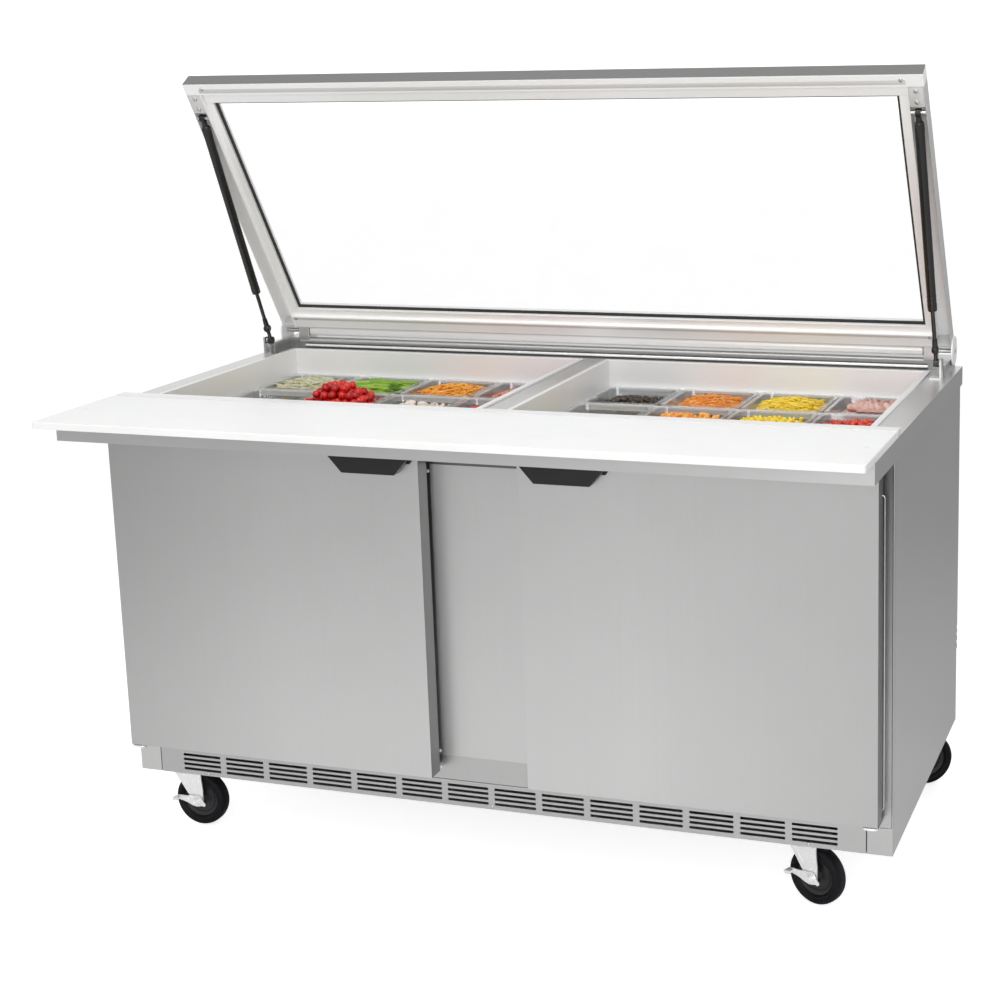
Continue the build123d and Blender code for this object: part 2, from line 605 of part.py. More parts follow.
with BuildPart() as condenser_fan:
    hub_plane = Plane(origin=(coil_x, hub_y, fan_z), x_dir=(1, 0, 0), z_dir=(0, 1, 0))
    with BuildSketch(hub_plane):
        Circle(hub_r)
    extrude(amount=16)
    with BuildSketch(hub_plane.offset(5)):
        with PolarLocations(hub_r + 25, blades):
            SlotOverall(blade_long, blade_wide)
    extrude(amount=3)
    bar((coil_x, hub_y - 2, fan_z), (coil_x, hub_y + 18, fan_z), 4 + run, Mode.SUBTRACT)
save(condenser_fan, "condenser_fan")

with BuildPart() as evaporator:
    front_end = cooler_front + cooler_sheet
    inner_top = cooler_high - cooler_sheet
    block((-cooler_half, cooler_half), (cooler_front, front_end), (hump_z + 4, cooler_high))
    block((-cooler_half, cooler_half), (front_end, cooler_rear), (inner_top, cooler_high))
    for x in (-cooler_half, cooler_half - cooler_sheet):
        block((x, x + cooler_sheet), (front_end, cooler_rear), (hump_z + 4, inner_top))
    for z in range(fin_low, fin_high, fin_pitch):
        block((-fin_half, fin_half), (fin_front, fin_rear), (z, z + 2))
    for x in (-fin_half - 5, fin_half):
        block((x, x + 5), (fin_front + 2, fin_rear - 2), (fin_low - 5, fin_high + 5))
    cooler_face = Plane(origin=(0, cooler_front, cooler_fan_z), x_dir=(1, 0, 0), z_dir=(0, -1, 0))
    with BuildSketch(cooler_face):
        with GridLocations(2 * cooler_fan_x, 0, 2, 1):
            Circle(cooler_fan_r)
    extrude(amount=-cooler_sheet, mode=Mode.SUBTRACT)
    bar_y = (cooler_front + 15, cooler_front + 18)
    for x in (-cooler_fan_x, cooler_fan_x):
        reach = cooler_fan_r + 2
        block((x - reach, x + reach), bar_y, (cooler_fan_z - 4, cooler_fan_z + 4))
        block((x - 3, x + 3), bar_y, (cooler_fan_z + 4, inner_top))
        mount = (x, cooler_front + 10, cooler_fan_z)
        bar(mount, (x, cooler_front + 36, cooler_fan_z), hub_r)
        bar((x, cooler_front, cooler_fan_z), mount, 4)
save(evaporator, "evaporator")

with BuildPart() as temperature_control:
    control_front = hump_y - 32
    block((-control_half, control_half), (control_front, hump_y - 8), (control_low, control_high))
    bar((0, control_front, knob_z), (0, control_front - 14, knob_z), knob_r)
save(temperature_control, "temperature_control")

# ============================== casters =======================================================

plate_z = base - plate_thick
with BuildPart() as caster_plates:
    for x, y, _ in casters.values():
        block((x - plate_x, x + plate_x), (y - plate_y, y + plate_y), (plate_z, base))
        bar((x, y, crown_high + 0.3), (x, y, plate_z), race_r)
        bar((x, y, crown_low - 2), (x, y, plate_z), stem_r)
save(caster_plates, "caster_plates")

leg_top = crown_low - wheel_r
for name, (x, y, direction) in casters.items():
    turn = math.radians(direction)
    caster = Plane(origin=(x, y, 0), x_dir=(math.cos(turn), math.sin(turn), 0), z_dir=(0, 0, 1))
    wheel_plane = Plane(
        origin=caster.from_local_coords(Vector(trail, 0, wheel_r)),
        x_dir=caster.x_dir,
        z_dir=-caster.y_dir,
    )

    with BuildPart() as caster_fork:
        crown_z = (crown_low, crown_high)
        block((crown_rear, crown_front), (-leg_out, leg_out), crown_z, caster, round_r=8)
        for leg in (leg_in, -leg_out):
            with BuildSketch(wheel_plane.offset(leg)):
                with BuildLine():
                    Polyline(
                        (leg_rear, leg_top),
                        (crown_front - trail, leg_top),
                        (12, 0),
                        (-11, -6),
                        (leg_rear, leg_top - 9),
                        close=True,
                    )
                make_face()
                Circle(12)
            extrude(amount=leg_out - leg_in)
        with BuildSketch(wheel_plane.offset(-leg_out - 3)):
            Circle(axle_r)
        extrude(amount=2 * leg_out + 6)
        boss = 5 if name.startswith("front") else 0
        with BuildSketch(wheel_plane.offset(leg_out)):
            Circle(boss_r)
        extrude(amount=boss + 1)
        for head in (-leg_out - nut_thick, leg_out + boss):
            with BuildSketch(wheel_plane.offset(head)):
                RegularPolygon(nut_r, 6)
            extrude(amount=nut_thick)
        with BuildSketch(Plane.XY.offset(crown_low - 1)):
            with Locations((x, y)):
                Circle(stem_r + 0.3)
        extrude(amount=6, mode=Mode.SUBTRACT)
    save(caster_fork, f"caster_fork_{name}")

    with BuildPart() as caster_wheel:
        with BuildSketch(wheel_plane.offset(-wheel_width / 2)):
            Circle(wheel_r)
        extrude(amount=wheel_width)
        fillet(caster_wheel.edges().filter_by(GeomType.CIRCLE), tread_round)
        for face in (-wheel_width / 2, wheel_width / 2 - rim_deep):
            with BuildSketch(wheel_plane.offset(face)):
                Circle(wheel_r - rim_edge)
                Circle(wheel_hub_r, mode=Mode.SUBTRACT)
            extrude(amount=rim_deep, mode=Mode.SUBTRACT)
        with BuildSketch(wheel_plane.offset(-wheel_width / 2)):
            Circle(axle_r + run)
        extrude(amount=wheel_width, mode=Mode.SUBTRACT)
    save(caster_wheel, f"caster_wheel_{name}")

    if name.startswith("front"):
        with BuildPart() as brake_lever:
            with BuildSketch(wheel_plane.offset(leg_out + 1)):
                with BuildLine():
                    Polyline(
                        (18, -13),
                        (16, -4),
                        (9, 9),
                        (-14, 12),
                        (leg_rear, 9),
                        (leg_rear, 2),
                        (-12, -10),
                        close=True,
                    )
                make_face()
                Circle(boss_r + run, mode=Mode.SUBTRACT)
            extrude(amount=lever_thick)
            with BuildSketch(wheel_plane.offset(leg_out + 1 + lever_thick)):
                with Locations((leg_rear + 4, 5.5)):
                    RectangleRounded(12, 7, 1.5)
            extrude(amount=pedal_wide)
        save(brake_lever, f"brake_lever_{name}")
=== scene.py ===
import json
import math
import random

import bmesh
import bpy
from mathutils import Matrix, Vector, noise


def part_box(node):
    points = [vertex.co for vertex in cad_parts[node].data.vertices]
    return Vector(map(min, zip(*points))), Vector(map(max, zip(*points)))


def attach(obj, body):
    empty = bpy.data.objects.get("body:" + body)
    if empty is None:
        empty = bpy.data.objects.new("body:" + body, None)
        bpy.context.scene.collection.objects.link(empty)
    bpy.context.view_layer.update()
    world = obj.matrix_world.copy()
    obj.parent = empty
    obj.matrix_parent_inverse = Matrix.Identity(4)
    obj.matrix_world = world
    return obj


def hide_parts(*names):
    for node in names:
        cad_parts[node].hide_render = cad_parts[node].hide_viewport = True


# Looks of a refrigerated sandwich prep table with an open glass lid. Metres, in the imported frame.
# X runs to the right, Y to the back, Z up from the floor.

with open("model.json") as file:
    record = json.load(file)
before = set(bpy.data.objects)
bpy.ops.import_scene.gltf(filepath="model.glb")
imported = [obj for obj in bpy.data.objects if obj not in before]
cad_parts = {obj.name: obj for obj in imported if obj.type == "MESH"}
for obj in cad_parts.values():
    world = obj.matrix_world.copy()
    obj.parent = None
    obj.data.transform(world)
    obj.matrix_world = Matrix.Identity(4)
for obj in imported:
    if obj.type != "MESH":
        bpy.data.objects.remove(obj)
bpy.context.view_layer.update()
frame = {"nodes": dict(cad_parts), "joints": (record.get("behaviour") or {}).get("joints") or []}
nodes = frame["nodes"]
joints = {joint["name"]: joint for joint in frame["joints"]}
mm = 0.001
sides = {"left": -1, "right": 1}
X_AXIS, Y_AXIS, Z_AXIS = Vector((1, 0, 0)), Vector((0, 1, 0)), Vector((0, 0, 1))


# ============================== procedural materials ==========================================

class Tree:
    """A material's node tree, with short ways to add and join the nodes used here."""

    def __init__(self, name):
        self.material = bpy.data.materials.new(name)
        self.material.use_nodes = True
        self.nodes = self.material.node_tree.nodes
        self.links = self.material.node_tree.links
        self.shader = self.nodes["Principled BSDF"]
        self.output = self.nodes["Material Output"]
        coordinates = self.nodes.new("ShaderNodeTexCoord")
        self.place, self.outward = coordinates.outputs["Object"], coordinates.outputs["Normal"]

    def add(self, kind, **settings):
        node = self.nodes.new(kind)
        for key, value in settings.items():
            setattr(node, key, value)
        return node

    def feed(self, source, socket):
        self.links.new(source, socket)

    def scaled(self, scale):
        mapping = self.add("ShaderNodeMapping")
        mapping.inputs["Scale"].default_value = scale
        self.feed(self.place, mapping.inputs["Vector"])
        return mapping.outputs["Vector"]

    def noise(self, scale, detail=3.0, rough=0.55, distortion=0.0):
        texture = self.add("ShaderNodeTexNoise")
        settings = {"Scale": 1.0, "Detail": detail, "Roughness": rough, "Distortion": distortion}
        for key, value in settings.items():
            texture.inputs[key].default_value = value
        self.feed(self.scaled(scale), texture.inputs["Vector"])
        return texture.outputs["Fac"]

    def cells(self, scale, feature="F1"):
        texture = self.add("ShaderNodeTexVoronoi", feature=feature)
        texture.inputs["Scale"].default_value = 1.0
        self.feed(self.scaled(scale), texture.inputs["Vector"])
        return texture.outputs["Distance"]

    def island(self):
        return self.add("ShaderNodeNewGeometry").outputs["Random Per Island"]

    def weigh(self, layers):
        """The weighted sum of several sockets."""
        total = None
        for source, weight in layers:
            term = self.add("ShaderNodeMath", operation="MULTIPLY_ADD")
            self.feed(source, term.inputs[0])
            term.inputs[1].default_value = weight
            term.inputs[2].default_value = 0.0
            if total is not None:
                self.feed(total, term.inputs[2])
            total = term.outputs["Value"]
        return total

    def ramp(self, source, stops):
        ramp = self.add("ShaderNodeValToRGB")
        elements = ramp.color_ramp.elements
        while len(elements) < len(stops):
            elements.new(0.5)
        for element, (position, colour) in zip(elements, stops):
            element.position = position
            element.color = (*colour, 1.0)
        self.feed(source, ramp.inputs["Fac"])
        return ramp.outputs["Color"]

    def map_range(self, source, end, low, high):
        change = self.add("ShaderNodeMapRange")
        change.inputs[f"{end} Min"].default_value = low
        change.inputs[f"{end} Max"].default_value = high
        self.feed(source, change.inputs["Value"])
        return change.outputs["Result"]

    def span(self, source, low, high):
        """Maps 0..1 to low..high."""
        return self.map_range(source, "To", low, high)

    def limits(self, source, low, high):
        """Maps low..high to 0..1."""
        return self.map_range(source, "From", low, high)

    def toward(self, direction):
        """1 on the faces that look along a direction of the part's own frame, either way if it is X."""
        dot = self.add("ShaderNodeVectorMath", operation="DOT_PRODUCT")
        self.feed(self.outward, dot.inputs[0])
        dot.inputs[1].default_value = direction
        size = self.add("ShaderNodeMath", operation="ABSOLUTE" if abs(direction[0]) > 0.5 else "ADD")
        size.inputs[1].default_value = 0.0
        self.feed(dot.outputs["Value"], size.inputs[0])
        return self.limits(size.outputs["Value"], 0.75, 0.9)

    def along(self, axis, start, end):
        """0 at the start and 1 at the end of a stretch of the part's own X, Y or Z."""
        parts = self.add("ShaderNodeSeparateXYZ")
        self.feed(self.place, parts.inputs[0])
        return self.limits(parts.outputs[axis], start, end)

    def dim(self, colour, where, share):
        """Multiplies a colour by a share, where the mask is 1."""
        mix = self.add("ShaderNodeMixRGB", blend_type="MULTIPLY")
        self.feed(where, mix.inputs["Fac"])
        self.feed(colour, mix.inputs["Color1"])
        mix.inputs["Color2"].default_value = (share, share, share, 1.0)
        return mix.outputs["Color"]

    def mix_shaders(self, share, first, second):
        mix = self.add("ShaderNodeMixShader")
        for source, socket in zip((share, first, second), mix.inputs):
            self.feed(source, socket)
        return mix.outputs[0]

    def bump(self, height, strength, distance):
        node = self.add("ShaderNodeBump")
        node.inputs["Strength"].default_value = strength
        node.inputs["Distance"].default_value = distance
        self.feed(height, node.inputs["Height"])
        self.feed(node.outputs["Normal"], self.shader.inputs["Normal"])

    def finish(self, colour, roughness, **constants):
        self.feed(colour, self.shader.inputs["Base Color"])
        self.feed(roughness, self.shader.inputs["Roughness"])
        for key, value in constants.items():
            self.shader.inputs[key.replace("_", " ")].default_value = value
        return self.material


def grey(value, warm=0.0):
    return (value * (1 + warm), value, value * (1 - warm))


def brushed(name, tone, grain, rough=(0.3, 0.38), metallic=1.0, spread=0.014, dark_toward=None, fade=None):
    """Satin metal. grain is the direction of its brush lines, as x, y or z. The last two arguments paint
    shade. The first is a direction that the faces given painted shade look along, and their share of the
    tone. The second is an axis, where painted shade begins and ends to grow along it, and the share of the
    tone that is left."""
    tree = Tree(name)
    along = {"x": (3, 900, 900), "y": (900, 3, 900), "z": (900, 900, 3)}[grain]
    broad = {"x": (0.8, 120, 120), "y": (120, 0.8, 120), "z": (120, 120, 0.8)}[grain]
    lines = tree.noise(along, 2.0, 0.7)
    bands = tree.noise(broad, 3.0, 0.6)
    smudge = tree.noise((5, 5, 5), 4.0, 0.6, 0.4)
    mixed = tree.weigh([(lines, 0.4), (bands, 0.25), (smudge, 0.35)])
    colour = tree.ramp(mixed, [(0.3, grey(tone - spread, 0.004)), (0.7, grey(tone + spread, 0.004))])
    # Painted shade: faces that look one way, and one end of the part, are made darker.
    if dark_toward:
        colour = tree.dim(colour, tree.toward(dark_toward[0]), dark_toward[1])
    if fade:
        colour = tree.dim(colour, tree.along(*fade[:3]), fade[3])
    tree.bump(tree.weigh([(lines, 0.7), (bands, 0.3)]), 0.02, 0.0003)
    wear = tree.weigh([(smudge, 0.6), (lines, 0.4)])
    return tree.finish(colour, tree.span(wear, *rough), Metallic=metallic)


def plain_metal(name, tone, rough, scale=60, spread=0.05, depth=0.1, metallic=1.0, warm=0.0):
    """Plated, cast or rolled metal with a mottled, unbrushed surface."""
    tree = Tree(name)
    cloud = tree.noise((scale, scale, scale), 5.0, 0.6, 0.3)
    fine = tree.noise((scale * 14,) * 3, 2.0)
    mixed = tree.weigh([(cloud, 0.7), (fine, 0.3)])
    stops = [(0.3, grey(tone - spread, warm)), (0.7, grey(tone + spread, warm))]
    tree.bump(fine, depth, 0.0003)
    return tree.finish(tree.ramp(mixed, stops), tree.span(mixed, *rough), Metallic=metallic)


def moulded(name, dark, light, rough, grain=900, depth=0.15, distance=0.0003, **constants):
    """Moulded plastic or rubber with fine texture and faint clouds of tone."""
    tree = Tree(name)
    pebble = tree.noise((grain,) * 3, 2.0)
    cloud = tree.noise((9, 9, 9), 4.0, 0.6, 0.5)
    mixed = tree.weigh([(pebble, 0.35), (cloud, 0.65)])
    tree.bump(pebble, depth, distance)
    colour = tree.ramp(mixed, [(0.3, dark), (0.7, light)])
    return tree.finish(colour, tree.span(mixed, *rough), **constants)


def board_plastic():
    """White polyethylene with a pebbled face and faint knife marks."""
    tree = Tree("cutting_board_plastic")
    pebble = tree.cells((700, 700, 700))
    cloud = tree.noise((6, 6, 6), 4.0, 0.6)
    cuts = tree.noise((14, 900, 30), 2.0, 0.5, 0.6)
    mixed = tree.weigh([(cloud, 0.6), (cuts, 0.4)])
    colour = tree.ramp(mixed, [(0.25, (0.79, 0.79, 0.785)), (0.6, (0.85, 0.85, 0.845))])
    tree.bump(tree.weigh([(pebble, 0.6), (cuts, 0.6)]), 0.12, 0.0003)
    return tree.finish(colour, tree.span(mixed, 0.38, 0.5), Subsurface_Weight=0.05)


def clear(name, tint, gloss, rough, edge, share, milk=0.0):
    """A thin clear wall: it lets light straight through, tinted, and mirrors more at a shallow angle.
    milk is the part of it that scatters light, as in moulded plastic."""
    tree = Tree(name)
    tree.nodes.remove(tree.shader)
    haze = tree.noise((40, 40, 40), 4.0, 0.6)
    passed = tree.add("ShaderNodeBsdfTransparent")
    dark = tuple(c * 0.985 for c in tint)
    tree.feed(tree.ramp(haze, [(0.3, dark), (0.7, tint)]), passed.inputs["Color"])
    body = passed.outputs[0]
    if milk:
        cloudy = tree.add("ShaderNodeBsdfDiffuse")
        cloudy.inputs["Color"].default_value = (0.9, 0.91, 0.92, 1.0)
        body = tree.mix_shaders(tree.span(haze, milk * 0.8, milk * 1.2), body, cloudy.outputs[0])
    mirror = tree.add("ShaderNodeBsdfGlossy")
    mirror.inputs["Color"].default_value = (*gloss, 1.0)
    tree.feed(tree.span(haze, *rough), mirror.inputs["Roughness"])
    angle = tree.add("ShaderNodeLayerWeight")
    angle.inputs["Blend"].default_value = edge
    shown = tree.mix_shaders(tree.span(angle.outputs["Fresnel"], *share), body, mirror.outputs[0])
    tree.feed(shown, tree.output.inputs["Surface"])
    return tree.material


def food(name, colours, rough=(0.3, 0.5), grain=260, depth=0.4, subsurface=0.15, vary=0.5):
    """Food: its tone changes from piece to piece and within each piece."""
    tree = Tree(name)
    speck = tree.noise((grain,) * 3, 3.0)
    mixed = tree.weigh([(tree.island(), vary), (speck, 1 - vary)])
    steps = len(colours) - 1
    stops = [(0.2 + 0.6 * i / steps, colour) for i, colour in enumerate(colours)]
    tree.bump(speck, depth, 0.0006)
    return tree.finish(
        tree.ramp(mixed, stops),
        tree.span(speck, *rough),
        Subsurface_Weight=subsurface,
        Subsurface_Scale=0.004,
    )


lid_tilt = math.radians(joints["lid_hinge"]["range_deg"][1])
free_edge = (0, -math.cos(lid_tilt), math.sin(lid_tilt))
steel_upright = brushed("brushed_steel_upright", 0.61, "z")
riser_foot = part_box("hinge_riser")[0].z
steel_inner = brushed("satin_liner_steel", 0.84, "x", (0.4, 0.5), 0.35)
aluminium = brushed("lid_aluminium", 0.95, "x", (0.34, 0.42), 0.2)
# A darker copy of the lid aluminium: painted shade, for the grooves across the rails and the filler plates
# in the side channels.
aluminium_shade = brushed("lid_aluminium_groove", 0.68, "x", (0.4, 0.5), 0.4)
own_looks = {
    "steel_top": brushed("top_steel", 0.63, "x"),
    # Right-hand rail only: darker towards its outer wall, painted shade of its channel.
    "lid_side_rails": brushed("lid_side_satin", 0.95, "y", (0.34, 0.42), 0.2, fade=("X", 0.738, 0.747, 0.6)),
    # Darker towards the riser's foot: painted shade.
    "hinge_riser": brushed("riser_steel", 0.66, "x", fade=("Z", riser_foot + 0.03, riser_foot + 0.014, 0.5)),
    "front_grille": brushed("grille_steel", 0.5, "x"),
    "mullion_panel": brushed("mullion_steel", 0.6, "z"),
    # Darker towards the panel's front edge: painted shade.
    "side_panel_right": brushed("side_steel", 0.61, "z", fade=("Y", -0.21, -0.235, 0.82)),
    # A darker steel that grows darker still towards the top: painted shade.
    "face_frame": brushed("frame_steel", 0.5, "z", fade=("Z", 0.35, 0.84, 0.3)),
    # The face of the free edge is darker: painted shade.
    "lid_front_rail": brushed("lid_front_rail_satin", 0.95, "x", (0.34, 0.42), 0.2,
                              dark_toward=(free_edge, 0.22)),
    # Faces along X are darker and the tone drops towards each door's outer edge: painted shade.
    "door_shell_left": brushed("door_steel_left", 0.61, "z", dark_toward=((1, 0, 0), 0.5),
                               fade=("X", -0.4, -0.75, 0.84)),
    "door_shell_right": brushed("door_steel_right", 0.61, "z", dark_toward=((1, 0, 0), 0.5),
                                fade=("X", 0.3, 0.75, 0.8)),
}
looks = {
    "brushed_steel": steel_upright,
    "liner_steel": steel_inner,
    "galvanised_steel": plain_metal("galvanised_sheet", 0.5, (0.35, 0.55), 90, 0.09),
    "foam_lining": moulded("cabinet_lining", (0.72, 0.73, 0.73), (0.8, 0.81, 0.81), (0.3, 0.45), 500),
    "door_lining": moulded("door_lining", (0.76, 0.77, 0.77), (0.84, 0.85, 0.85), (0.28, 0.42), 500),
    "seal_rubber": moulded("seal_rubber", (0.012,) * 3, (0.03,) * 3, (0.45, 0.65), 700, 0.2),
    "handle_plastic": moulded("black_handle", (0.004,) * 3, (0.009,) * 3, (0.25, 0.4), 900, 0.12),
    "hinge_steel": plain_metal("plated_steel", 0.62, (0.18, 0.32), 80, 0.06),
    "clear_plastic": clear("clear_pan_plastic", (0.965, 0.97, 0.975), (1, 1, 1), (0.03, 0.08), 0.4,
                           (0.03, 0.6), 0.05),
    "white_board": board_plastic(),
    "white_rail": moulded("white_rail", (0.7, 0.7, 0.7), (0.77, 0.77, 0.77), (0.25, 0.4), 600),
    "lid_aluminium": aluminium,
    "lid_glass": clear("lid_pane", (0.997, 0.999, 0.998), (0.8, 0.82, 0.82), (0.01, 0.03), 0.2, (0.0, 0.15)),
    "strut_black": moulded("strut_enamel", (0.004,) * 3, (0.01,) * 3, (0.2, 0.32), 500, 0.08),
    "strut_rod_steel": plain_metal("strut_rod", 0.06, (0.15, 0.25), 120, 0.02),
    "shelf_wire": moulded("epoxy_wire", (0.7, 0.7, 0.7), (0.82, 0.82, 0.82), (0.3, 0.42), 500, 0.2),
    "unit_black": moulded("unit_enamel", (0.01,) * 3, (0.028,) * 3, (0.35, 0.55), 300, 0.3),
    "fan_plastic": moulded("fan_plastic", (0.03,) * 3, (0.06,) * 3, (0.35, 0.5), 600, 0.2),
    "evaporator_aluminium": plain_metal("mill_aluminium", 0.68, (0.28, 0.42), 70, 0.05),
    "caster_zinc": plain_metal("bright_zinc", 0.9, (0.2, 0.32), 110, 0.05, metallic=0.45),
    "caster_rubber": moulded("caster_rubber", (0.002, 0.002, 0.003), (0.006, 0.006, 0.009), (0.42, 0.55),
                             400, 0.1, Specular_IOR_Level=0.18),
}
for name, node in nodes.items():
    for material_slot in node.material_slots:
        slot_name = material_slot.material.name.split(".")[0]
        material_slot.material = own_looks.get(name, looks[slot_name])


def soften(name, width, angle=35):
    """Breaks the sharp edges of a CAD node with a narrow bevel. Its own mesh stays as it is."""
    node = nodes[name]
    weld = node.modifiers.new("weld", "WELD")
    weld.merge_threshold = 0.00001
    bevel = node.modifiers.new("edges", "BEVEL")
    bevel.width = width
    bevel.segments = 2
    bevel.limit_method = "ANGLE"
    bevel.angle_limit = math.radians(angle)
    bevel.harden_normals = False
    bevel.use_clamp_overlap = True


# ============================== mesh tools ====================================================

def piece(name, bm, body, slot=None, look=None, smooth=40, replaced=()):
    """Makes a mesh object from bm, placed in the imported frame, that rides on a body. Its look is
    its slot's, unless another is given."""
    mesh = bpy.data.meshes.new(name)
    bmesh.ops.recalc_face_normals(bm, faces=bm.faces)
    bm.to_mesh(mesh)
    bm.free()
    obj = bpy.data.objects.new(name, mesh)
    bpy.context.scene.collection.objects.link(obj)
    mesh.materials.append(look or looks[slot])
    mesh.shade_smooth()
    mesh.set_sharp_from_angle(angle=math.radians(smooth))
    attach(obj, body)
    if replaced:
        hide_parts(*replaced)


def basis(origin, x_dir, y_dir, z_dir):
    m = Matrix((x_dir, y_dir, z_dir)).transposed().to_4x4()
    m.translation = origin
    return m


def facing(origin, direction):
    """A matrix whose Z axis points in direction, at origin."""
    m = Vector(direction).to_track_quat("Z", "Y").to_matrix().to_4x4()
    m.translation = origin
    return m


def add_faces(bm, rings, closed=True, caps=True):
    """Joins rings of equally many vertices with quads. closed joins each ring's ends, caps fill the ends."""
    count = len(rings[0])
    for a, b in zip(rings, rings[1:]):
        for i in range(count if closed else count - 1):
            j = (i + 1) % count
            bm.faces.new((a[i], a[j], b[j], b[i]))
    if caps:
        bm.faces.new(rings[0])
        bm.faces.new(rings[-1][::-1])


def slab(bm, low, high, matrix=Matrix.Identity(4), edge=0.0004):
    """A box with broken edges."""
    size = Vector(high) - Vector(low)
    centre = (Vector(high) + Vector(low)) / 2
    made = bmesh.ops.create_cube(bm, size=1.0)
    verts = made["verts"]
    stretched = matrix @ Matrix.Translation(centre) @ Matrix.Diagonal((*size, 1))
    bmesh.ops.transform(bm, matrix=stretched, verts=verts)
    edges = {e for v in verts for e in v.link_edges}
    if edge:
        bmesh.ops.bevel(bm, geom=list(edges), offset=edge, segments=2, affect="EDGES", profile=0.6)


def lathe(bm, profile, matrix, segments=32):
    """Turns a closed profile of (radius, height) points about the matrix's Z axis."""
    rings = []
    for radius, height in profile:
        ring = []
        for i in range(segments):
            turn = 2 * math.pi * i / segments
            place = Vector((radius * math.cos(turn), radius * math.sin(turn), height))
            ring.append(bm.verts.new(matrix @ place))
        rings.append(ring)
    hollow = min(profile[0][0], profile[-1][0]) > 1e-5
    add_faces(bm, rings + [rings[0]] if hollow else rings, caps=False)
    bmesh.ops.remove_doubles(bm, verts=[v for r in rings for v in r], dist=1e-6)


def tube(bm, points, radius, segments=10, taper=None, flat=1.0):
    """A round or oval tube along points. taper gives the radius at each point as a share."""
    points = [Vector(p) for p in points]
    rings = []
    side = None
    for i, point in enumerate(points):
        ahead = points[min(i + 1, len(points) - 1)] - points[max(i - 1, 0)]
        ahead.normalize()
        if side is None:
            side = ahead.orthogonal().normalized()
        side = (side - ahead * side.dot(ahead)).normalized()
        up = ahead.cross(side)
        share = radius * (taper[i] if taper else 1.0)
        ring = []
        for k in range(segments):
            turn = 2 * math.pi * k / segments
            out = side * (share * math.cos(turn)) + up * (share * flat * math.sin(turn))
            ring.append(bm.verts.new(point + out))
        rings.append(ring)
    add_faces(bm, rings)


def arc(centre, radius, start, end, u, v, steps=8):
    """Points on an arc in the plane of u and v. Angles in degrees."""
    found = []
    for i in range(steps + 1):
        turn = math.radians(start + (end - start) * i / steps)
        out = Vector(u) * (radius * math.cos(turn)) + Vector(v) * (radius * math.sin(turn))
        found.append(Vector(centre) + out)
    return found


def pan_head(bm, matrix, radius=0.0045, height=0.0025):
    """A domed screw head with a cross recess, standing on the matrix's XY plane."""
    segments = 32
    profile = [(radius, 0.0), (radius, height * 0.35), (radius * 0.88, height * 0.75)]
    profile.append((radius * 0.62, height))
    rings = []
    for r, z in profile:
        rings.append([(r, z)] * segments)
    for z in (height * 0.98, height * 0.3):
        rings.append([
            (radius * (0.13 + 0.42 * max(0.0, math.cos(8 * math.pi * i / segments)) ** 2), z)
            for i in range(segments)
        ])
    made = []
    for ring in rings:
        made.append([
            bm.verts.new(matrix @ Vector((
                r * math.cos(2 * math.pi * i / segments), r * math.sin(2 * math.pi * i / segments), z)))
            for i, (r, z) in enumerate(ring)
        ])
    add_faces(bm, made)


def rounded(half_x, half_y, radius, centre=(0, 0), steps=5):
    """The outline of a rounded rectangle."""
    found = []
    for corner, (sx, sy) in enumerate(((1, 1), (-1, 1), (-1, -1), (1, -1))):
        for i in range(steps + 1):
            turn = math.radians(90 * corner + 90 * i / steps)
            x = centre[0] + sx * (half_x - radius) + radius * math.cos(turn)
            y = centre[1] + sy * (half_y - radius) + radius * math.sin(turn)
            found.append((x, y))
    return found


# ============================== pans and food =================================================

PAN_COUNT = 4
pan_rim_half = (81 * mm, 88 * mm)
pan_wall_half = (74 * mm, 81 * mm)
pan_lip, pan_wall, pan_depth = 2.5 * mm, 2 * mm, 100 * mm
pan_draft = math.tan(math.radians(3))


def pan_centres(node):
    """The middle of each pan's rim in a row, from left to right, and the height of the rims."""
    low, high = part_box(node)
    pitch = (high.x - low.x - 2 * pan_rim_half[0]) / (PAN_COUNT - 1)
    y = (low.y + high.y) / 2
    return [(low.x + pan_rim_half[0] + i * pitch, y) for i in range(PAN_COUNT)], high.z


def add_pan(bm, centre, top):
    """A clear pan with a rolled rim, tapered walls and a rounded floor."""
    def round_at(half, inset, drop, corner):
        outline = rounded(half[0] - inset, half[1] - inset, corner, centre, 6)
        return [bm.verts.new((x, y, top - drop)) for x, y in outline]

    def ring(*measures):
        return round_at(pan_wall_half, *measures)

    def rim(*measures):
        return round_at(pan_rim_half, *measures)

    floor = pan_depth
    slope = pan_draft * floor
    inner = pan_wall
    rings = [
        ring(slope + 12 * mm, floor + pan_lip, 8 * mm),
        ring(slope + 5 * mm, floor + pan_lip - 1 * mm, 12 * mm),
        ring(slope, floor - 4 * mm, 16 * mm),
        ring(2 * mm, 16 * mm, 17 * mm),
        ring(1 * mm, 12 * mm, 17.5 * mm),
        ring(0, pan_lip, 18 * mm),
        rim(1 * mm, pan_lip, 13 * mm),
        rim(0, pan_lip * 0.9, 14 * mm),
        rim(0, pan_lip * 0.35, 14 * mm),
        rim(0.9 * mm, 0, 13.2 * mm),
        ring(inner - 2.2 * mm, 0, 17.5 * mm),
        ring(inner - 0.6 * mm, 0.5 * mm, 17 * mm),
        ring(inner, 2.5 * mm, 16.5 * mm),
        ring(inner + 1 * mm, 12 * mm, 16 * mm),
        ring(inner + 2.2 * mm, 16 * mm, 15.5 * mm),
        ring(inner + slope - 0.6 * mm, floor - 6 * mm, 14 * mm),
        ring(inner + slope + 3 * mm, floor - 1 * mm, 11 * mm),
        ring(inner + slope + 10 * mm, floor + pan_lip - inner, 7 * mm),
    ]
    add_faces(bm, rings)


def border(grid):
    """The vertices round the edge of a grid of rows."""
    last_row, last = len(grid) - 1, len(grid[0]) - 1
    edge = [grid[i][0] for i in range(last_row)] + [grid[last_row][k] for k in range(last)]
    return edge + [grid[i][last] for i in range(last_row, 0, -1)] + [grid[0][k] for k in range(last, 0, -1)]


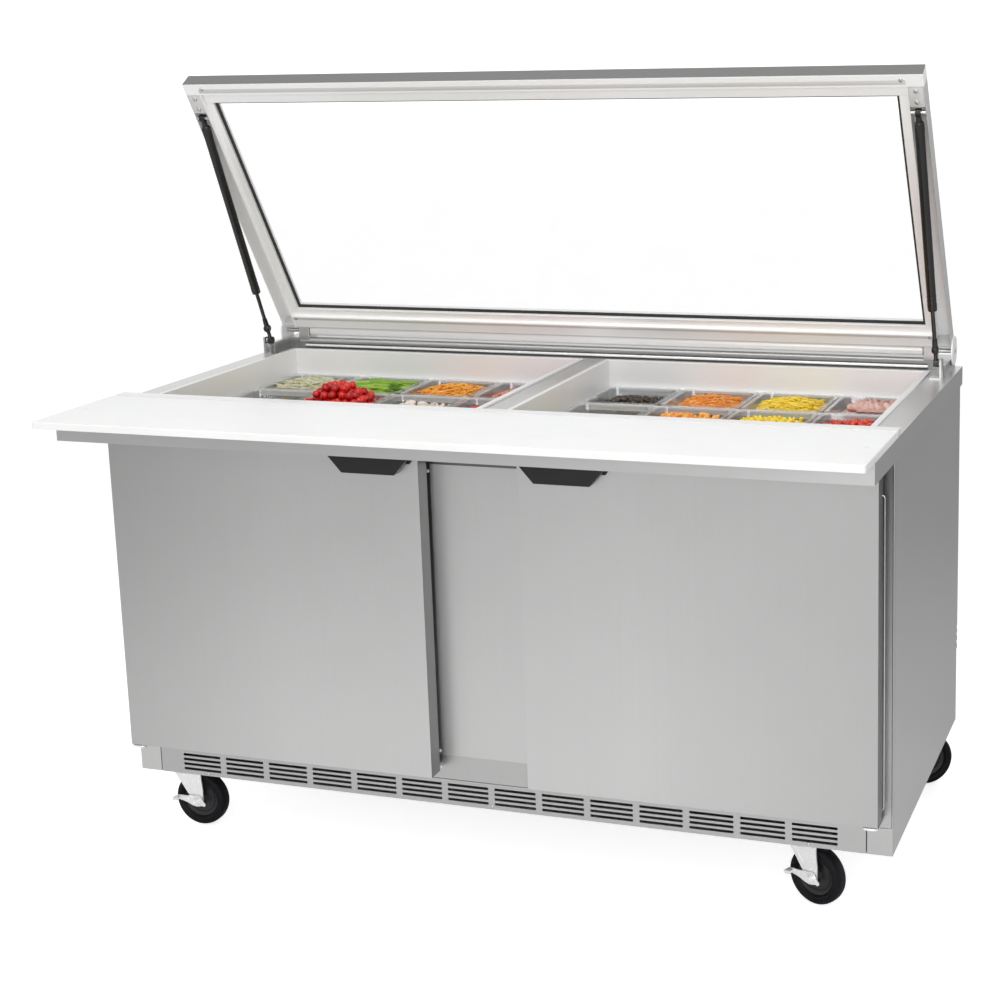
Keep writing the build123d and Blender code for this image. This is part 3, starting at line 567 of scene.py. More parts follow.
def bed(bm, rng, centre, top, level, lump, heap=0.0, steps=14):
    """Packed food: a lumpy top on a body that follows the pan's walls. level is the depth below the rim."""
    seed = rng.random() * 100
    reach = [half - pan_wall - 1.6 * mm for half in pan_wall_half]
    grids = []
    for deep in (False, True):
        shrink = pan_draft * (pan_depth - 4 * mm if deep else level)
        grid = []
        for i in range(steps + 1):
            row = []
            for k in range(steps + 1):
                u, v = 2 * i / steps - 1, 2 * k / steps - 1
                x = centre[0] + (reach[0] - shrink) * u * math.sqrt(1 - 0.17 * v * v)
                y = centre[1] + (reach[1] - shrink) * v * math.sqrt(1 - 0.17 * u * u)
                z = top - pan_depth + 2 * mm
                if not deep:
                    rise = heap * max(0.0, 1 - u * u) * max(0.0, 1 - v * v)
                    z = top - level + rise + lump * noise.noise(Vector((u * 4 + seed, v * 4, seed)))
                row.append(bm.verts.new((x, y, z)))
            grid.append(row)
        grids.append(grid)
    upper, lower = grids
    for grid, turned in ((upper, False), (lower, True)):
        for i in range(steps):
            for k in range(steps):
                face = (grid[i][k], grid[i + 1][k], grid[i + 1][k + 1], grid[i][k + 1])
                bm.faces.new(face[::-1] if turned else face)

    add_faces(bm, [border(lower), border(upper)], caps=False)


def places(rng, centre, top, level, heap, count, share, low, high):
    """Random places on the heap in a pan, lifted off it by low to high millimetres. share is how far from
    the middle they reach, as a share of the pan's inner half sizes."""
    reach = [half - pan_wall - pan_draft * level for half in pan_wall_half]
    for _ in range(count):
        u, v = rng.uniform(-share, share), rng.uniform(-share, share)
        height = top - level + heap * max(0.0, 1 - u * u) * max(0.0, 1 - v * v)
        height += rng.uniform(low, high) * mm
        yield Vector((centre[0] + u * reach[0], centre[1] + v * reach[1], height))


def shreds(bm, rng, centre, top, level, heap, count=150, length=26, thick=1.5, share=0.72):
    """Grated strands that lie every way on a heap. Lengths in millimetres."""
    for place in places(rng, centre, top, level, heap, count, share, 0, 5):
        turn = rng.uniform(0, math.tau)
        along = Vector((math.cos(turn), math.sin(turn), rng.uniform(-0.25, 0.25)))
        side = along.cross(Z_AXIS).normalized()
        half = length * mm * rng.uniform(0.3, 0.62)
        curl = rng.uniform(-0.3, 0.3) * half
        points = []
        for k in range(5):
            t = k / 2 - 1
            swerve = side * (curl * (1 - t * t))
            points.append(place + along * (half * t) + swerve - Z_AXIS * (0.08 * half * t * t))
        tube(bm, points, thick * mm * rng.uniform(0.8, 1.2), 5, (0.6, 1, 1, 1, 0.6))


def balls(bm, rng, centre, top, level, heap, radius=9.5, flat=0.92,
          layers=((7, 8), (7, 7), (6, 6), (5, 4), (3, 3))):
    """Round fruit piled in layers, each with a dimple where its stalk was."""
    for depth, (columns, rows) in enumerate(layers):
        for i in range(columns):
            for k in range(rows):
                r = radius * mm * rng.uniform(0.88, 1.08)
                x = centre[0] + (i - (columns - 1) / 2) * radius * 2.05 * mm + rng.uniform(-2, 2) * mm
                y = centre[1] + (k - (rows - 1) / 2) * radius * 2.05 * mm + rng.uniform(-2, 2) * mm
                z = top - level + depth * radius * 1.45 * mm + rng.uniform(-2, 2) * mm
                pose = Matrix.Translation((x, y, z)) @ Matrix.Rotation(rng.uniform(0, math.tau), 4, "Z")
                pose = pose @ Matrix.Rotation(rng.uniform(-1.3, 1.3), 4, "X")
                pose = pose @ Matrix.Rotation(rng.uniform(-1, 1), 4, "Y")
                profile = []
                for step in range(9):
                    turn = math.pi * step / 8
                    dimple = 0.16 * r * math.exp(-((math.pi - turn) / 0.35) ** 2)
                    profile.append((r * math.sin(turn) + 1e-6, -(r * flat * math.cos(turn)) - dimple))
                lathe(bm, profile, pose, 14)


def spears(bm, rng, centre, top, level, heap, count=26, length=62, thick=5.5, share=0.55, lean=0.35):
    """Long tapered pods or strips that lie roughly side by side."""
    for place in places(rng, centre, top, level, heap, count, share, -2, 6):
        turn = rng.uniform(-lean, lean)
        along = Vector((math.cos(turn), math.sin(turn), rng.uniform(-0.08, 0.12)))
        side = along.cross(Z_AXIS).normalized()
        half = length * mm * rng.uniform(0.38, 0.56)
        bend = rng.uniform(-0.22, 0.22) * half
        points, taper = [], []
        for k in range(9):
            t = k / 4 - 1
            points.append(place + along * (half * t) + side * (bend * (1 - t * t)))
            taper.append(max(0.12, (1 - abs(t) ** 2.6)) * (0.8 + 0.2 * math.cos(t * 2)))
        tube(bm, points, thick * mm * rng.uniform(0.8, 1.15), 8, taper, 0.8)


def chunks(bm, rng, centre, top, level, heap, count=110, size=8, share=0.82, flat=0.8):
    """Diced pieces with rounded, uneven corners."""
    for place in places(rng, centre, top, level, heap, count, share, -1, 5):
        angle = rng.uniform(0, math.tau)
        turn = Matrix.Rotation(angle, 4, Vector((rng.random(), rng.random(), rng.random() + 0.2)))
        half = Vector([size * mm * rng.uniform(0.35, 0.6) for _ in range(3)])
        half.z *= flat
        pose = Matrix.Translation(place) @ turn
        rings = []
        for z, share_at in ((-1, 0.72), (-0.72, 1), (0.72, 1), (1, 0.72)):
            ring = []
            for k in range(8):
                angle = math.tau * (k + 0.5) / 8
                c, s = math.cos(angle), math.sin(angle)
                ring.append(bm.verts.new(pose @ Vector((
                    half.x * share_at * math.copysign(abs(c) ** 0.6, c),
                    half.y * share_at * math.copysign(abs(s) ** 0.6, s),
                    half.z * z,
                ))))
            rings.append(ring)
        add_faces(bm, rings)


def loops(bm, rng, centre, top, level, heap, count=70, radius=6.5, thick=2.2, share=0.8, whole=1.0,
          flat=1.0):
    """Sliced rings, or parts of rings, tipped every way."""
    for place in places(rng, centre, top, level, heap, count, share, 0, 5):
        tip = Vector((rng.uniform(-0.7, 0.7), rng.uniform(-0.7, 0.7), 1)).normalized()
        first = tip.orthogonal().normalized()
        second = tip.cross(first)
        r = radius * mm * rng.uniform(0.8, 1.15)
        start = rng.uniform(0, 360)
        if whole >= 1.0:
            rings = []
            for i in range(12):
                turn = math.tau * i / 12
                out = first * math.cos(turn) + second * math.sin(turn)
                rings.append([
                    bm.verts.new(place + out * (r + thick * mm * math.cos(a))
                                 + tip * (thick * flat * mm * math.sin(a)))
                    for a in (math.tau * k / 7 for k in range(7))
                ])
            add_faces(bm, rings + [rings[0]], caps=False)
        else:
            points = arc(place, r, start, start + 360 * whole, first, second, 8)
            tube(bm, points, thick * mm, 6, (0.5, 0.9, 1, 1, 1, 1, 1, 0.9, 0.5), flat)


def beans(bm, rng, centre, top, level, heap, count=150, radius=5.0, share=0.84, stretch=1.35):
    """Small oval beans or whole olives."""
    for place in places(rng, centre, top, level, heap, count, share, -1, 5):
        r = radius * mm * rng.uniform(0.85, 1.1)
        pose = facing(place, (rng.uniform(-1, 1), rng.uniform(-1, 1), rng.uniform(-0.5, 0.5)))
        turns = [math.pi * k / 6 for k in range(7)]
        profile = [(r * math.sin(turn) + 1e-6, -r * stretch * math.cos(turn)) for turn in turns]
        lathe(bm, profile, pose, 9)


def folds(bm, rng, centre, top, level, heap, count=12, width=52, length=46, thick=1.6, share=0.45):
    """Thin slices dropped in soft folds."""
    for place in places(rng, centre, top, level, heap, count, share, 2, 7):
        turn = Matrix.Translation(place) @ Matrix.Rotation(rng.uniform(-0.5, 0.5), 4, "Z")
        turn = turn @ Matrix.Rotation(rng.uniform(-0.3, 0.3), 4, "X")
        phase, across_steps, along_steps = rng.uniform(0, 6), 14, 6
        layers = []
        for lift in (thick * mm / 2, -thick * mm / 2):
            layer = []
            for i in range(across_steps + 1):
                row = []
                for k in range(along_steps + 1):
                    x, y = i / across_steps - 0.5, k / along_steps - 0.5
                    wave = 5.5 * mm * math.sin(13 * x + phase + 1.5 * y) * (0.6 + y)
                    edge = 1 - 0.25 * (2 * y) ** 2
                    point = Vector((x * width * mm * edge, y * length * mm, wave + lift))
                    row.append(bm.verts.new(turn @ point))
                layer.append(row)
            layers.append(layer)
        upper, lower = layers
        for i in range(across_steps):
            for k in range(along_steps):
                bm.faces.new((upper[i][k], upper[i + 1][k], upper[i + 1][k + 1], upper[i][k + 1]))
                bm.faces.new((lower[i][k], lower[i][k + 1], lower[i + 1][k + 1], lower[i + 1][k]))
        add_faces(bm, [border(upper), border(lower)], caps=False)


kinds = {
    # name: colours from dark to light, shape, its settings, and the settings of its material
    "bean_sprouts": (((0.35, 0.36, 0.16), (0.62, 0.6, 0.42), (0.78, 0.76, 0.62)), shreds,
                     dict(count=170, length=44, thick=1.6), dict(subsurface=0.3)),
    "green_peppers": (((0.06, 0.16, 0.005), (0.16, 0.33, 0.01), (0.34, 0.5, 0.06)), spears,
                      dict(count=30, length=88, thick=6), dict(rough=(0.16, 0.3), vary=0.6)),
    "grated_cheddar": (((0.75, 0.26, 0.02), (0.88, 0.4, 0.04), (0.92, 0.5, 0.09)), shreds,
                       dict(count=230, length=22, thick=1.5), dict(subsurface=0.2)),
    "diced_ham": (((0.5, 0.14, 0.09), (0.68, 0.27, 0.2), (0.78, 0.4, 0.32)), chunks,
                  dict(count=120, size=9), dict(subsurface=0.25)),
    "pickle_slices": (((0.4, 0.34, 0.06), (0.55, 0.47, 0.12), (0.66, 0.58, 0.24)), loops,
                      dict(count=60, radius=9, thick=4.5, flat=0.5), dict(rough=(0.15, 0.3))),
    "cherry_tomatoes": (((0.42, 0.005, 0.004), (0.6, 0.012, 0.01), (0.72, 0.03, 0.02)), balls,
                        dict(), dict(rough=(0.08, 0.16), depth=0.03, vary=0.85)),
    "black_olives": (((0.006, 0.005, 0.004), (0.02, 0.014, 0.01), (0.05, 0.035, 0.025)), loops,
                     dict(count=95, radius=5.5, thick=2.6), dict(rough=(0.15, 0.3), subsurface=0.0)),
    "red_pepper_strips": (((0.35, 0.02, 0.01), (0.6, 0.05, 0.02), (0.75, 0.12, 0.04)), shreds,
                          dict(count=110, length=34, thick=2.6), dict(rough=(0.15, 0.3))),
    "dark_beans": (((0.012, 0.009, 0.006), (0.035, 0.025, 0.015), (0.07, 0.05, 0.03)), beans,
                   dict(count=170), dict(rough=(0.2, 0.35), subsurface=0.0)),
    "grated_carrot": (((0.7, 0.2, 0.02), (0.86, 0.33, 0.05), (0.9, 0.45, 0.12)), shreds,
                      dict(count=210, length=30, thick=1.4), dict(rough=(0.25, 0.4))),
    "grated_yellow_cheese": (((0.8, 0.52, 0.02), (0.9, 0.66, 0.04), (0.93, 0.76, 0.15)), shreds,
                             dict(count=230, length=24, thick=1.6), dict(subsurface=0.2)),
    "sliced_ham": (((0.55, 0.25, 0.2), (0.72, 0.42, 0.36), (0.82, 0.58, 0.52)), folds,
                   dict(count=12), dict(subsurface=0.3, vary=0.4)),
    "mustard_relish": (((0.42, 0.28, 0.04), (0.6, 0.44, 0.07), (0.7, 0.55, 0.16)), chunks,
                       dict(count=150, size=6), dict(rough=(0.15, 0.3))),
    "diced_cheddar": (((0.8, 0.3, 0.04), (0.9, 0.42, 0.09), (0.92, 0.52, 0.16)), chunks,
                      dict(count=120, size=9), dict(subsurface=0.2)),
    "sweetcorn": (((0.85, 0.55, 0.02), (0.92, 0.68, 0.04), (0.94, 0.78, 0.14)), chunks,
                  dict(count=170, size=7), dict(rough=(0.2, 0.35), subsurface=0.25)),
    "diced_red_pepper": (((0.5, 0.02, 0.01), (0.7, 0.05, 0.02), (0.8, 0.12, 0.05)), chunks,
                         dict(count=120, size=9), dict(rough=(0.12, 0.25))),
    "lettuce": (((0.12, 0.26, 0.03), (0.3, 0.45, 0.08), (0.6, 0.68, 0.3)), folds,
                dict(count=14, thick=0.9), dict(rough=(0.3, 0.45), subsurface=0.2)),
    "onion_rings": (((0.5, 0.16, 0.3), (0.78, 0.66, 0.68), (0.86, 0.8, 0.78)), loops,
                    dict(count=46, radius=15, thick=1.8, whole=0.7, flat=1.6), dict(subsurface=0.3)),
    "mushrooms": (((0.5, 0.42, 0.32), (0.68, 0.6, 0.5), (0.8, 0.74, 0.66)), loops,
                  dict(count=50, radius=8, thick=4.5, whole=0.55, flat=0.6), dict(subsurface=0.2)),
    "cucumber": (((0.2, 0.36, 0.08), (0.55, 0.66, 0.3), (0.7, 0.78, 0.46)), loops,
                 dict(count=46, radius=10, thick=6, flat=0.35), dict(rough=(0.15, 0.3), subsurface=0.25)),
}
# Each pan, from left to right: what it holds, the depth of the food below the rim and the rise of its
# middle, in millimetres.
servings = {
    "pans_left_rear": (("bean_sprouts", 16, 16), ("green_peppers", 18, 16), ("grated_cheddar", 17, 16),
                       ("diced_ham", 20, 12)),
    "pans_left_middle": (("pickle_slices", 30, 8), ("cherry_tomatoes", 26, 10), ("mushrooms", 20, 10),
                         ("red_pepper_strips", 20, 12)),
    "pans_left_front": (("lettuce", 42, 8), ("black_olives", 45, 6), ("cucumber", 45, 6),
                        ("onion_rings", 45, 6)),
    "pans_right_rear": (("dark_beans", 26, 12), ("grated_carrot", 18, 16), ("grated_yellow_cheese", 17, 18),
                        ("sliced_ham", 22, 12)),
    "pans_right_middle": (("mustard_relish", 34, 8), ("diced_cheddar", 16, 8), ("sweetcorn", 15, 10),
                          ("diced_red_pepper", 17, 12)),
    "pans_right_front": (("lettuce", 45, 6), ("cucumber", 45, 6), ("onion_rings", 45, 6),
                         ("green_peppers", 42, 6)),
}
food_looks = {name: food(name, kind[0], **kind[3]) for name, kind in kinds.items()}

for node, row in servings.items():
    centres, rim_z = pan_centres(node)
    with_pans = bmesh.new()
    for centre in centres:
        add_pan(with_pans, centre, rim_z)
    piece(node.replace("pans_", "clear_pans_"), with_pans, node, "clear_plastic",
          smooth=50, replaced=[node])
    for number, (centre, (name, level, heap)) in enumerate(zip(centres, row), 1):
        rng = random.Random(f"{node}{number}")
        kind = kinds[name]
        contents = bmesh.new()
        bed(contents, rng, centre, rim_z, level * mm, 5 * mm, heap * mm)
        kind[1](contents, rng, centre, rim_z, level * mm, heap * mm, **kind[2])
        piece(f"{name}_{node[5:]}_{number}", contents, node, look=food_looks[name], smooth=60)


# ============================== fittings ======================================================

def prism(bm, outline, matrix, low, high, edge=0.0005):
    """A plate of any outline between two heights of a matrix, with its rims broken."""
    middle = sum((Vector((x, y)) for x, y in outline), Vector((0, 0))) / len(outline)
    reach = max((Vector(p) - middle).length for p in outline)
    drawn_in = 1 - edge / reach
    rings = []
    for height, share in ((low, drawn_in), (low + edge, 1), (high - edge, 1), (high, drawn_in)):
        ring = []
        for x, y in outline:
            flat = middle + (Vector((x, y)) - middle) * share
            ring.append(bm.verts.new(matrix @ Vector((flat.x, flat.y, height))))
        rings.append(ring)
    add_faces(bm, rings)


def on_circle(radius, degrees):
    return [(radius * math.cos(math.radians(a)), radius * math.sin(math.radians(a))) for a in degrees]


def hexagon(radius):
    return on_circle(radius, range(0, 360, 60))


def mirrored(profile):
    """A profile of (radius, height) points and the same below height 0, back to the start."""
    return profile + [(r, -h) for r, h in profile[::-1]]


def turned(bm, profile, matrix, segments=28):
    """lathe() for a profile in millimetres. A radius of 0 is on the axis."""
    lathe(bm, [(max(r, 0.001) * mm, h * mm) for r, h in profile], matrix, segments)


def cut(bm, outline, matrix, low, high, edge):
    """prism() in millimetres."""
    prism(bm, [(x * mm, y * mm) for x, y in outline], matrix, low * mm, high * mm, edge * mm)


def lifted(matrix, height):
    """The matrix moved along its own Z, in millimetres."""
    return matrix @ Matrix.Translation((0, 0, height * mm))


def dome(bm, matrix, radius, height, steps=5, segments=24):
    """A low dome standing on the matrix's XY plane."""
    profile = [(radius * 0.98, 0.0)]
    for i in range(steps + 1):
        turn = math.pi / 2 * i / steps
        profile.append((radius * math.cos(turn) + 1e-6, height * (0.25 + 0.75 * math.sin(turn))))
    profile.append((1e-6, 0.0))
    lathe(bm, profile, matrix, segments)


def axle_frame(corner):
    """Where a caster's wheel turns: X the way it trails, Y up, Z along the axle."""
    swivel = Vector(joints[f"caster_{corner}_swivel"]["pos_m"])
    wheel = joints[f"wheel_{corner}_spin"]
    axle, turn = Vector(wheel["pos_m"]), Vector(wheel["axis"])
    trailing = Vector((axle.x - swivel.x, axle.y - swivel.y, 0)).normalized()
    return swivel, basis(axle, trailing, Z_AXIS, turn)


zinc = looks["caster_zinc"]
hub_plastic = moulded("caster_hub", (0.006,) * 3, (0.016,) * 3, (0.3, 0.45), 500, 0.15)
# Millimetres: the inner and outer faces of a fork's legs from its middle, and the top of its crown.
leg_in, leg_out, crown_top = 17, 20, 122
corners = ("front_left", "front_right", "rear_left", "rear_right")
turned_over = Matrix.Rotation(math.pi, 4, "X")


def caster_wheel(corner):
    _, hub_frame = axle_frame(corner)
    tread = [
        (36, 8.6), (38, 10.2), (39.4, 12.6), (41, 13.4), (44, 13.9), (44.6, 13.2), (45.4, 13.9),
        (48.5, 13.8), (50.4, 13.2), (51, 12.4), (51.8, 12.4), (53.6, 10.4), (54.6, 7), (55, 3), (54.85, 0.5),
    ]
    tyre = bmesh.new()
    turned(tyre, mirrored(tread), hub_frame, 64)
    piece(f"wheel_tyre_{corner}", tyre, f"wheel_{corner}", "caster_rubber",
          replaced=[f"caster_wheel_{corner}"])
    face = [(4.3, 15), (9, 15), (10, 14.2), (11, 10), (13, 7.6), (20, 6.6), (27, 6.8), (28, 8), (30, 8.2),
            (31, 7), (36.4, 8.8)]
    hub = bmesh.new()
    turned(hub, mirrored(face), hub_frame, 48)
    piece(f"wheel_hub_{corner}", hub, f"wheel_{corner}", "caster_rubber", hub_plastic)


def caster_fork(corner):
    swivel, hub_frame = axle_frame(corner)
    fork = bmesh.new()
    foot = on_circle(11.5, range(10, -171, -20))
    leg = [(-50, 62.5), (-50, 55), (-40, 41), (-26, 19)] + foot[::-1] + [(11.8, 22), (9.6, 45), (9, 62.5)]
    for low, high in ((leg_in, leg_out), (-leg_out, -leg_in)):
        cut(fork, leg, hub_frame, low, high, 0.7)
    trailing = hub_frame.col[0].xyz
    crown = basis(Vector((swivel.x, swivel.y, 0)), trailing, Z_AXIS.cross(trailing), Z_AXIS)
    cut(fork, rounded(30, leg_out, 8, (3, 0)), crown, crown_top - 4.2, crown_top, 1)
    rib = [(-44, 56), (-24, 22), (-18, 22), (-36, 56)]
    for low, high in ((leg_out, leg_out + 0.9), (-leg_out - 0.9, -leg_out)):
        cut(fork, rib, hub_frame, low, high, 0.4)
    piece(f"fork_{corner}", fork, f"caster_{corner}", "caster_zinc", smooth=35,
          replaced=[f"caster_fork_{corner}"])
    bolt = bmesh.new()
    turned(bolt, [(0, -23), (0, 24), (3.9, 24), (3.9, -23)], hub_frame, 20)
    outer = 24.8 if corner.startswith("front") else leg_out + 0.9
    turned(bolt, [(4, 0), (8.6, 0), (8.6, 1), (4, 1)], lifted(hub_frame, outer))
    cut(bolt, hexagon(7.2), hub_frame, outer + 1, outer + 5, 0.6)
    dome(bolt, lifted(hub_frame, outer + 4.8), 4 * mm, 1.2 * mm)
    cut(bolt, hexagon(7.2), hub_frame, -leg_out - 5.4, -leg_out - 0.9, 0.6)
    piece(f"axle_bolt_{corner}", bolt, f"caster_{corner}", "caster_zinc", smooth=30)


def caster_plates():
    plates = bmesh.new()
    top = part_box("caster_plates")[1].z / mm
    for corner in corners:
        swivel, _ = axle_frame(corner)
        at = Matrix.Translation((swivel.x, swivel.y, 0))
        cut(plates, rounded(45, 38, 5), at, top - 4, top - 0.2, 0.8)
        race = [(6, 0.4), (19, 0.4), (21, 1), (22.5, 2.2), (24, 3), (25, 4.2), (25, 6), (6, 6)]
        turned(plates, race, lifted(at, crown_top), 40)
        dome(plates, lifted(at, crown_top - 5) @ turned_over, 9 * mm, 1.5 * mm)
        for sx in (-1, 1):
            for sy in (-1, 1):
                hole = at @ Matrix.Translation((sx * 36 * mm, sy * 29 * mm, (top - 4) * mm)) @ turned_over
                turned(plates, [(0, 0), (7, 0), (7, 1), (0, 1)], hole, 24)
                cut(plates, hexagon(5.5), hole, 0.9, 4.4, 0.5)
    piece("swivel_plates", plates, "root", "caster_zinc", smooth=30, replaced=["caster_plates"])


def brake_pedal(corner):
    _, hub_frame = axle_frame(corner)
    pedal = bmesh.new()
    boss = on_circle(12, range(115, 30, -17))
    tail = [(11, 5), (14.5, -1.5), (17.6, -4.6), (18, -8.6), (15, -11), (10, -9.6), (4, -11.4), (-4, -12)]
    grip = [(-13, -9.6), (-22, -5), (-34, -1.5), (-46, 0.6), (-50, 3), (-50, 7.5), (-40, 9.6), (-24, 9.2),
            (-14, 11)]
    cut(pedal, boss + tail + grip, hub_frame, leg_out + 1.4, leg_out + 3.6, 0.7)
    turned(pedal, [(6, 0), (10.4, 0), (9.4, 1.1), (6, 1.1)], lifted(hub_frame, leg_out + 3.5))
    cut(pedal, rounded(6.5, 3.2, 2, (-43, 5.2)), hub_frame, leg_out + 3.2, leg_out + 17.5, 0.9)
    piece(f"brake_pedal_{corner}", pedal, f"brake_{corner}", "caster_zinc", smooth=35,
          replaced=[f"brake_lever_{corner}"])


for corner in corners:
    caster_wheel(corner)
    caster_fork(corner)
    if corner.startswith("front"):
        brake_pedal(corner)
caster_plates()

# The lid's own directions: X along the hinge, Y from the free edge to the hinge, Z out of its top.
lid_hinge = Vector(joints["lid_hinge"]["pos_m"])
lid_frame = basis(
    lid_hinge,
    X_AXIS,
    Vector((0, math.cos(lid_tilt), -math.sin(lid_tilt))),
    Vector((0, math.sin(lid_tilt), math.cos(lid_tilt))),
)
lid_under = -12.5  # the underside of the rails, in millimetres along the lid frame's Z
screws = bmesh.new()
fillers = bmesh.new()


def lid_screw(x, s, n, radius, height):
    at = lid_frame @ Matrix.Translation((x * mm, s * mm, n * mm)) @ turned_over
    pan_head(screws, at, radius * mm, height * mm)


def lid_slab(bm, x, s, n, edge):
    """A box on the lid between pairs of X, Y and Z in millimetres."""
    low, high = (Vector(measures) * mm for measures in zip(*(sorted(pair) for pair in (x, s, n))))
    slab(bm, low, high, lid_frame, edge * mm)


for side in sides.values():
    for s in (-655, -45):
        lid_screw(side * 708, s, lid_under, 4.2, 2)
    lid_slab(fillers, (side * 719.4, side * 746.6), (-639.6, -597), (-12.2, -10.2), 0.5)
    for s in (-631, -607):
        lid_screw(side * 733, s, -12.2, 4.8, 1.8)
    lid_slab(fillers, (side * 719.3, side * 746.7), (-26, -18.4), (-12.2, 17), 0.4)
piece("lid_screws", screws, "lid", "hinge_steel")
piece("lid_corner_fillers", fillers, "lid", "lid_aluminium", aluminium_shade)
# Thin darker strips across the underside of the rails: painted shade where grooves would be.
grooves = bmesh.new()
for s in ((-655, -645.5), (-47, -41.5), (-21, -18.2)):
    lid_slab(grooves, (-716, 716), s, (lid_under - 0.25, lid_under + 0.3), 0.1)
piece("lid_rail_grooves", grooves, "lid", "lid_aluminium", aluminium_shade)

# ---- bright bead and dark strips along the foot of the hinge riser: painted highlight and painted shade ---
riser_front = lid_hinge.y - 10 * mm
# A bright round bead where the riser's nose shows a highlight: painted highlight.
bead = bmesh.new()
tube(bead, [(x * mm, riser_front, riser_foot + 6 * mm) for x in range(-700, 701, 175)], 2.9 * mm, 12)
piece("riser_bead", bead, "root", "liner_steel", zinc)
# Two dark strips, below and above the bead: painted shade along the riser's foot.
riser_seal = bmesh.new()
for low, high in ((0.6, 2.6), (9.4, 11)):
    slab(riser_seal, (-700 * mm, riser_front - 0.6 * mm, riser_foot + low * mm),
         (700 * mm, riser_front + 0.2 * mm, riser_foot + high * mm), edge=0.1 * mm)
piece("riser_seal", riser_seal, "root", "seal_rubber")

# ---- gas struts: end sockets, crimps and the rod's wiper ---------------------------------------
tube_end = 417  # millimetres from the strut's upper pivot to its lower rim
for name in sides:
    top = Vector(joints[f"strut_{name}_pivot"]["pos_m"])
    run_down = Vector(joints[f"strut_{name}_slide"]["axis"])
    along_strut = facing(top, run_down)
    caps = bmesh.new()
    turned(caps, [(0, 17), (5.5, 17), (8.4, 20), (9.25, 23), (9.25, 39), (0, 39)], along_strut)
    rim = [(0, -14), (9.3, -14), (9.3, -4), (7.6, 0), (5.4, 1.2), (0, 1.2)]
    turned(caps, rim, lifted(along_strut, tube_end))
    for groove in (386, 396):
        turned(caps, [(8.6, -1.4), (9.5, 0), (8.6, 1.4)], lifted(along_strut, groove))
    turned(caps, [(0, 7), (5, 7), (5.4, 12), (4.6, 24), (0, 24)], along_strut, 20)
    piece(f"strut_caps_{name}", caps, f"strut_tube_{name}", "strut_black")
    low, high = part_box(f"strut_rod_{name}")
    foot = Vector((top.x, low.y + 8 * mm, low.z + 8 * mm))
    reach = (foot - top).dot(run_down) / mm
    foot = top + run_down * reach * mm
    ends = bmesh.new()
    eye = [(0, -6.4), (6, -6.4), (8.6, -3.5), (9, 0), (8.6, 3.5), (6, 6.2), (0, 6.2)]
    turned(ends, eye, basis(foot, Y_AXIS, Z_AXIS, X_AXIS))
    turned(ends, [(0, -24), (4.9, -24), (5.6, -12), (5.2, -6), (0, -6)], lifted(along_strut, reach), 20)
    piece(f"strut_foot_{name}", ends, f"strut_rod_{name}", "strut_black")

# ---- cabinet front: grille screws, corner plugs, hinge noses and the door's closing rod --------
front_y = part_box("front_grille")[0].y
toward_front = Matrix.Rotation(math.pi / 2, 4, "X")
front_screws = bmesh.new()
for x in (-608, 0, 608):
    pan_head(front_screws, Matrix.Translation((x * mm, front_y, 135.8 * mm)) @ toward_front, 4 * mm, 2 * mm)
piece("grille_screws", front_screws, "root", "hinge_steel")
plugs = bmesh.new()
for x, z in ((-101.5, 238), (-101.5, 206), (-101, 779)):
    dome(plugs, Matrix.Translation((x * mm, front_y, z * mm)) @ toward_front, 3.4 * mm, 2.4 * mm)
piece("white_plugs", plugs, "root", "white_rail")
noses = bmesh.new()
for name, side in sides.items():
    pivot = Vector(joints[f"door_{name}_hinge"]["pos_m"])
    low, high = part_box(f"door_shell_{name}")
    bracket_low, bracket_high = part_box("door_hinge_brackets")
    dips = ((bracket_low.z + 0.2 * mm, turned_over), (bracket_high.z - 0.2 * mm, Matrix.Identity(4)))
    for z, turn in dips:
        dome(noses, Matrix.Translation((pivot.x, pivot.y, z)) @ turn, 9 * mm, 4 * mm)
    strap = (pivot.x, pivot.y - 10 * mm)
    for z in (bracket_low.z, bracket_high.z - 4 * mm):
        prism(noses, rounded(14 * mm, 8 * mm, 7.6 * mm, strap), Matrix.Identity(4), z, z + 4 * mm, 1 * mm)
    x = high.x + 5 * mm if side > 0 else low.x - 5 * mm
    route = ((5.6, 226), (2.6, 227), (1, 231), (1, 782), (2.6, 786), (5.6, 787))
    rod = bmesh.new()
    tube(rod, [(x - side * inward * mm, -250 * mm, z * mm) for inward, z in route], 1.3 * mm, 10)
    piece(f"closing_rod_{name}", rod, f"door_{name}", "hinge_steel")
piece("hinge_noses", noses, "root", "hinge_steel", zinc, smooth=35)


# ---- soft door seals and round-wire shelves ----------------------------------------------------
def door_seal(name):
    low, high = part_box(f"door_gasket_{name}")
    deep = high.y - low.y
    profile = [(0.4, 0), (0, 0.2), (0.6, 0.42), (0.2, 0.6), (0, 0.85), (1.4, 1), (6, 1), (8, 0.8), (10, 1),
               (12.6, 0.98), (14, 0.8), (13.2, 0.55), (13.8, 0.35), (13, 0)]
    seal = bmesh.new()
    rings = []
    for inset, depth in profile:
        gap = inset * mm
        corners = ((low.x + gap, low.z + gap), (high.x - gap, low.z + gap), (high.x - gap, high.z - gap),
                   (low.x + gap, high.z - gap))
        rings.append([seal.verts.new((x, low.y + deep * depth, z)) for x, z in corners])
    add_faces(seal, rings + [rings[0]], caps=False)
    piece(f"bellows_seal_{name}", seal, f"door_{name}", "seal_rubber", smooth=50,
          replaced=[f"door_gasket_{name}"])


